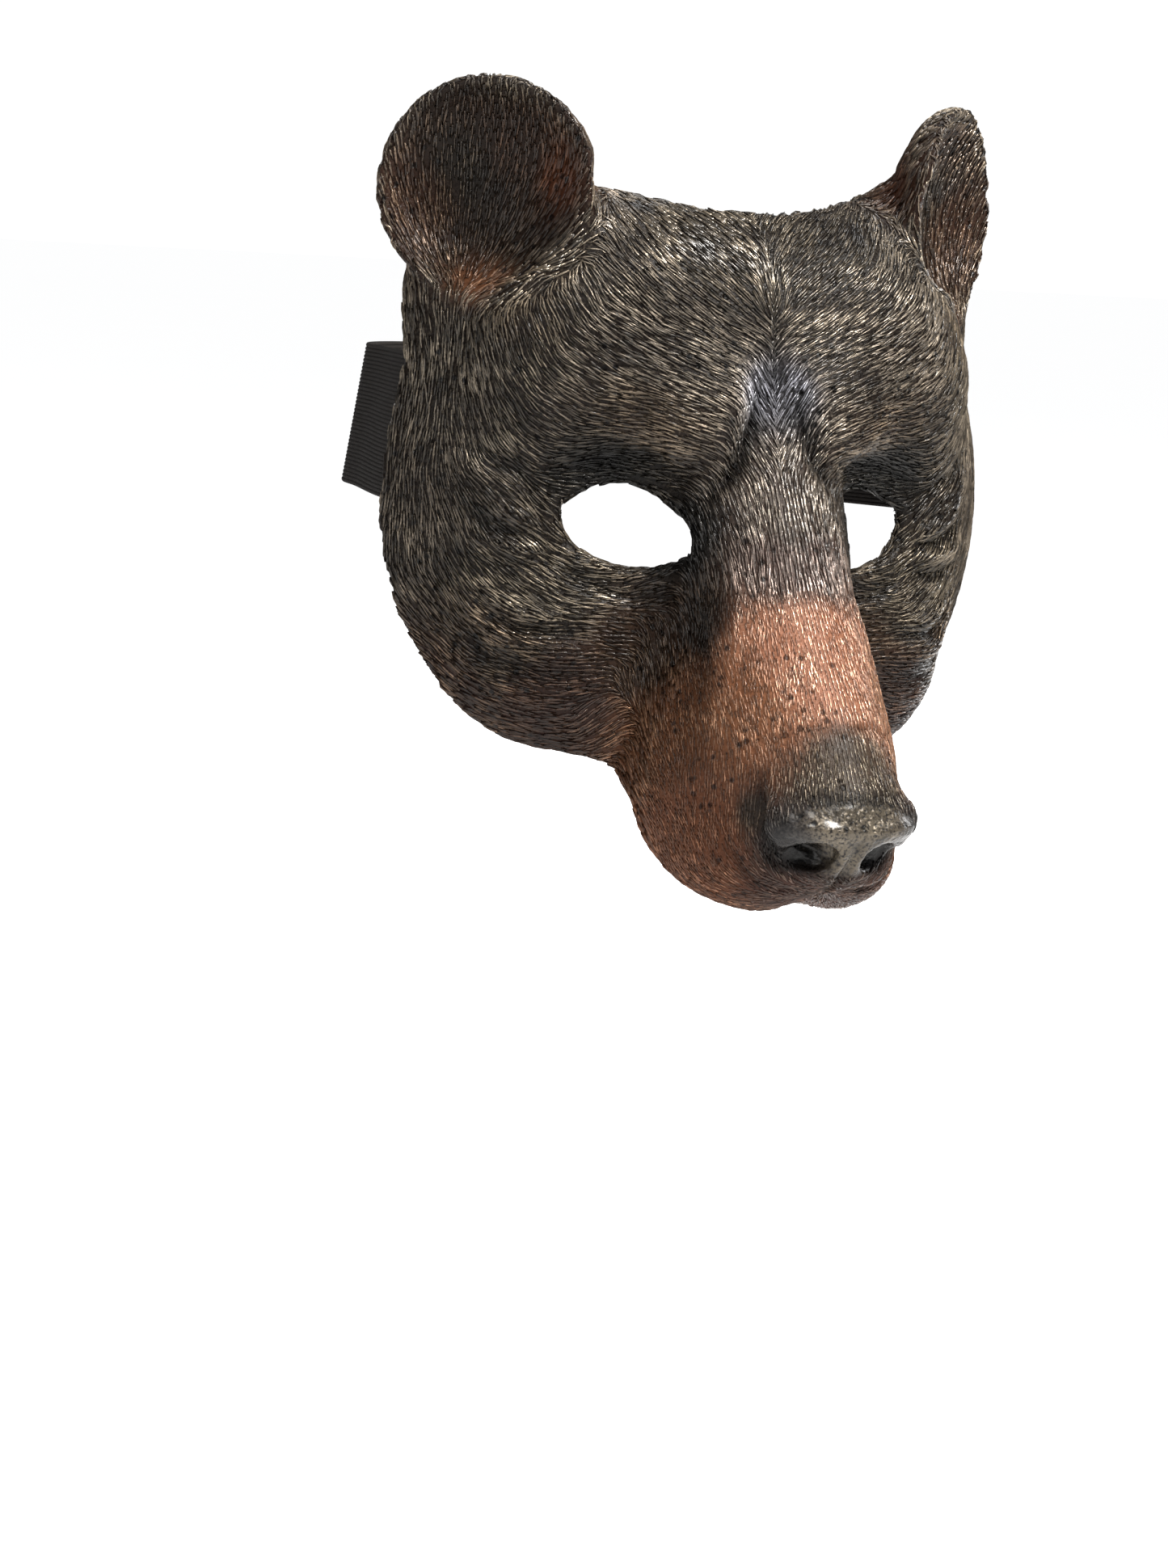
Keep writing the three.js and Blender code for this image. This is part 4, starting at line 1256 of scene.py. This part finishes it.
@dataclass
class ElasticStrap:
    """Wide ribbed elastic band, laid on the inner walls at the temples and round behind the shell."""

    node: str = "head_strap"
    ribs: int = 36
    rib_height: float = 0.4
    thickness: float = 1.15
    stations: int = 130
    stretch: float = 1.15
    loop_middle: float = 95.0
    level_gap: float = 0.3
    smooth_angle: float = 50.0

    def rows(self) -> tuple[list[Array], list[float]]:
        """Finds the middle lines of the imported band.

        Returns:
            The lines at its low edge, middle and top edge, and their heights, in millimetres.
        """
        points = read_points(frame["nodes"][self.node])
        points = np.unique(points.round(3), axis=0)
        heights = sorted({round(z, 1) for z in points[:, 2]})
        lines = []
        for level in heights:
            row = points[np.abs(points[:, 2] - level) < self.level_gap]
            turn = np.arctan2(row[:, 0], row[:, 1] - self.loop_middle)
            row = row[np.argsort(turn)]
            lines.append((row[0::2] + row[1::2]) / 2)
        return lines, heights

    def build(self, finish: Material) -> Piece:
        """Makes the band.

        Args:
            finish: its material.

        Returns:
            The finished piece.
        """
        lines, heights = self.rows()
        even = []
        for line in lines:
            way = np.r_[0, np.cumsum(lengths(np.diff(line, axis=0)))]
            wanted = np.linspace(0, way[-1], self.stations)
            even.append(np.stack([np.interp(wanted, way, line[:, axis]) for axis in range(3)], axis=1))
        length = float(lengths(np.diff(even[1], axis=0)).sum())
        across = self.ribs * 3 + 1
        deselect_all()
        bpy.ops.mesh.primitive_grid_add(x_subdivisions=self.stations - 1, y_subdivisions=across - 1, size=1)
        piece = bpy.context.object
        piece.name = "elastic_strap"
        grid = read_points(piece) * MM + 0.5
        column = np.rint(grid[:, 0] * (self.stations - 1)).astype(int)
        share = grid[:, 1]
        weights = np.stack([(1 - share) * (1 - 2 * share), 4 * share * (1 - share), share * (2 * share - 1)], axis=1)
        points = sum(weights[:, i, None] * even[i][column] for i in range(3))
        rib = 0.5 - 0.5 * np.cos(share * self.ribs * 2 * math.pi)
        write_points(piece, points)
        add_values(piece, "rib", rib)
        corners = np.zeros(len(piece.data.loops), int)
        piece.data.loops.foreach_get("vertex_index", corners)
        tape = np.stack([grid[:, 0] * length * MM, share * (heights[-1] - heights[0]) * MM], axis=1)
        piece.data.uv_layers[0].uv.foreach_set("vector", tape[corners].astype(np.float32).ravel())
        solid = piece.modifiers.new("Thickness", "SOLIDIFY")
        solid.thickness = self.thickness * MM
        solid.offset = 0
        bpy.ops.object.modifier_apply(modifier=solid.name)
        with editing():
            bpy.ops.mesh.normals_make_consistent(inside=False)
        ridge = read_values(piece, "rib")
        write_points(piece, read_points(piece) + point_normals(piece) * (ridge * self.rib_height)[:, None])
        piece.data.materials.append(finish)
        bpy.ops.object.shade_smooth_by_angle(angle=math.radians(self.smooth_angle))
        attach(piece, "root")
        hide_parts(self.node)
        LOG.info("elastic_strap: %.0f mm of band, %.0f mm before it is stretched", length, length / self.stretch)
        return piece


@dataclass(frozen=True)
class Lamp:
    """Soft studio light: its place, size and strength, pointed at the mask."""

    name: str
    place: Point
    size: float
    power: float
    colour: Colour = (1.0, 1.0, 1.0)


@dataclass
class Studio:
    """Floor, soft lights, pale surroundings and camera."""

    aim: Point = (0.0, 26.5, -25.0)
    azimuth: float = -28.0
    elevation: float = 6.5
    roll: float = 3.2
    distance: float = 1612.9
    across: float = -47.3
    down: float = -92.7
    lens: float = 111.34
    sensor: float = 36.0
    floor_below: float = 60.0
    lamp_aim: Point = (0.0, 0.05, -0.02)
    lamps: tuple[Lamp, ...] = (
        Lamp("key", (0.65, -1.05, 1.2), 0.28, 44.0, (1.0, 0.97, 0.93)),
        Lamp("fill", (-1.3, -0.8, 0.45), 0.7, 5.0),
        Lamp("front", (-0.55, -1.3, 1.3), 0.3, 10.0, (1.0, 0.98, 0.95)),
        Lamp("top", (0.1, 0.35, 1.4), 0.7, 14.0),
        Lamp("edge", (1.1, 0.5, 0.3), 0.5, 4.0),
    )

    def build(self) -> None:
        """Makes the floor, the lights and the camera."""
        low, _ = CAD_BOUNDS
        deselect_all()
        bpy.ops.mesh.primitive_plane_add(size=60, location=(0, 0, 0))
        floor = bpy.context.object
        floor.name = "floor"
        with editing():
            bpy.ops.transform.translate(value=(0, 0, low.z - self.floor_below * MM))
        material, tree, shader = new_material("pale_floor")
        seen = tree.add("LightPath").outputs["Is Camera Ray"]
        tree.fill(shader, {
            "Base Color": tree.mix(tree.noise(tree.place(), 2, 2), (0.86, 0.86, 0.87, 1), (0.9, 0.9, 0.9, 1)),
            "Roughness": 0.9,
            "Emission Color": tree.mix(seen, (0, 0, 0, 1), (0.85, 0.85, 0.85, 1)),
            "Emission Strength": 1.0,
        })
        floor.data.materials.append(material)
        self.surroundings()
        middle = Vector(self.lamp_aim)
        for lamp in self.lamps:
            light = bpy.data.lights.new(lamp.name, "AREA")
            light.size = lamp.size
            light.energy = lamp.power
            light.color = lamp.colour
            holder = bpy.data.objects.new(lamp.name, light)
            bpy.context.scene.collection.objects.link(holder)
            holder.location = lamp.place
            holder.rotation_euler = (middle - holder.location).to_track_quat("-Z", "Y").to_euler()
        self.camera()

    def surroundings(self) -> None:
        """Makes pale surroundings: white to the camera and a soft grey as light."""
        bpy.context.scene.view_settings.view_transform = "Standard"
        world = bpy.data.worlds.new("studio")
        world.use_nodes = True
        bpy.context.scene.world = world
        tree = Nodes(world.node_tree)
        world.node_tree.nodes.clear()
        seen = tree.add("LightPath").outputs["Is Camera Ray"]
        soft, white = (
            tree.add("Background", {"Color": (*colour, 1), "Strength": strength}).outputs[0]
            for colour, strength in (((0.96, 0.98, 1.0), 0.16), ((1, 1, 1), 1.05))
        )
        tree.add("OutputWorld", {"Surface": tree.add("MixShader", {0: seen, 1: soft, 2: white}).outputs[0]})

    def camera(self) -> None:
        """Makes the camera at the photograph's viewing angle."""
        turn, rise, roll = (math.radians(v) for v in (self.azimuth, self.elevation, self.roll))
        back = Vector((math.sin(turn) * math.cos(rise), -math.cos(turn) * math.cos(rise), math.sin(rise)))
        level = Vector((math.cos(turn), math.sin(turn), 0))
        upright = level.cross(-back)
        right = math.cos(roll) * level + math.sin(roll) * upright
        above = -math.sin(roll) * level + math.cos(roll) * upright
        place = Vector(self.aim) + back * self.distance + right * self.across + above * self.down
        data = bpy.data.cameras.new("camera")
        data.lens = self.lens
        data.sensor_width = self.sensor
        holder = bpy.data.objects.new("camera", data)
        bpy.context.scene.collection.objects.link(holder)
        matrix = Matrix((right, above, back)).transposed().to_4x4()
        matrix.translation = place * MM
        holder.matrix_world = matrix
        bpy.context.scene.camera = holder


def main() -> None:
    """Builds the whole mask and its studio."""
    logging.basicConfig(level=logging.INFO, format="%(message)s")
    Studio().build()
    group = paint_group()
    shell_paint = PaintFinish("painted_shell", 0.25, 0.3, 0.12, on_strokes=False).build(group)
    fur_paint = PaintFinish("painted_fur", 0.88, 0.22, 0.3, on_strokes=True).build(group)
    shell = CastShell()
    skin = shell.build(shell_paint)
    LOG.info("painted_shell: %d faces", len(skin.data.polygons))
    FurStrokes(shell).build(skin, fur_paint)
    ElasticStrap().build(ElasticFinish().build())


if __name__ == "__main__":
    main()
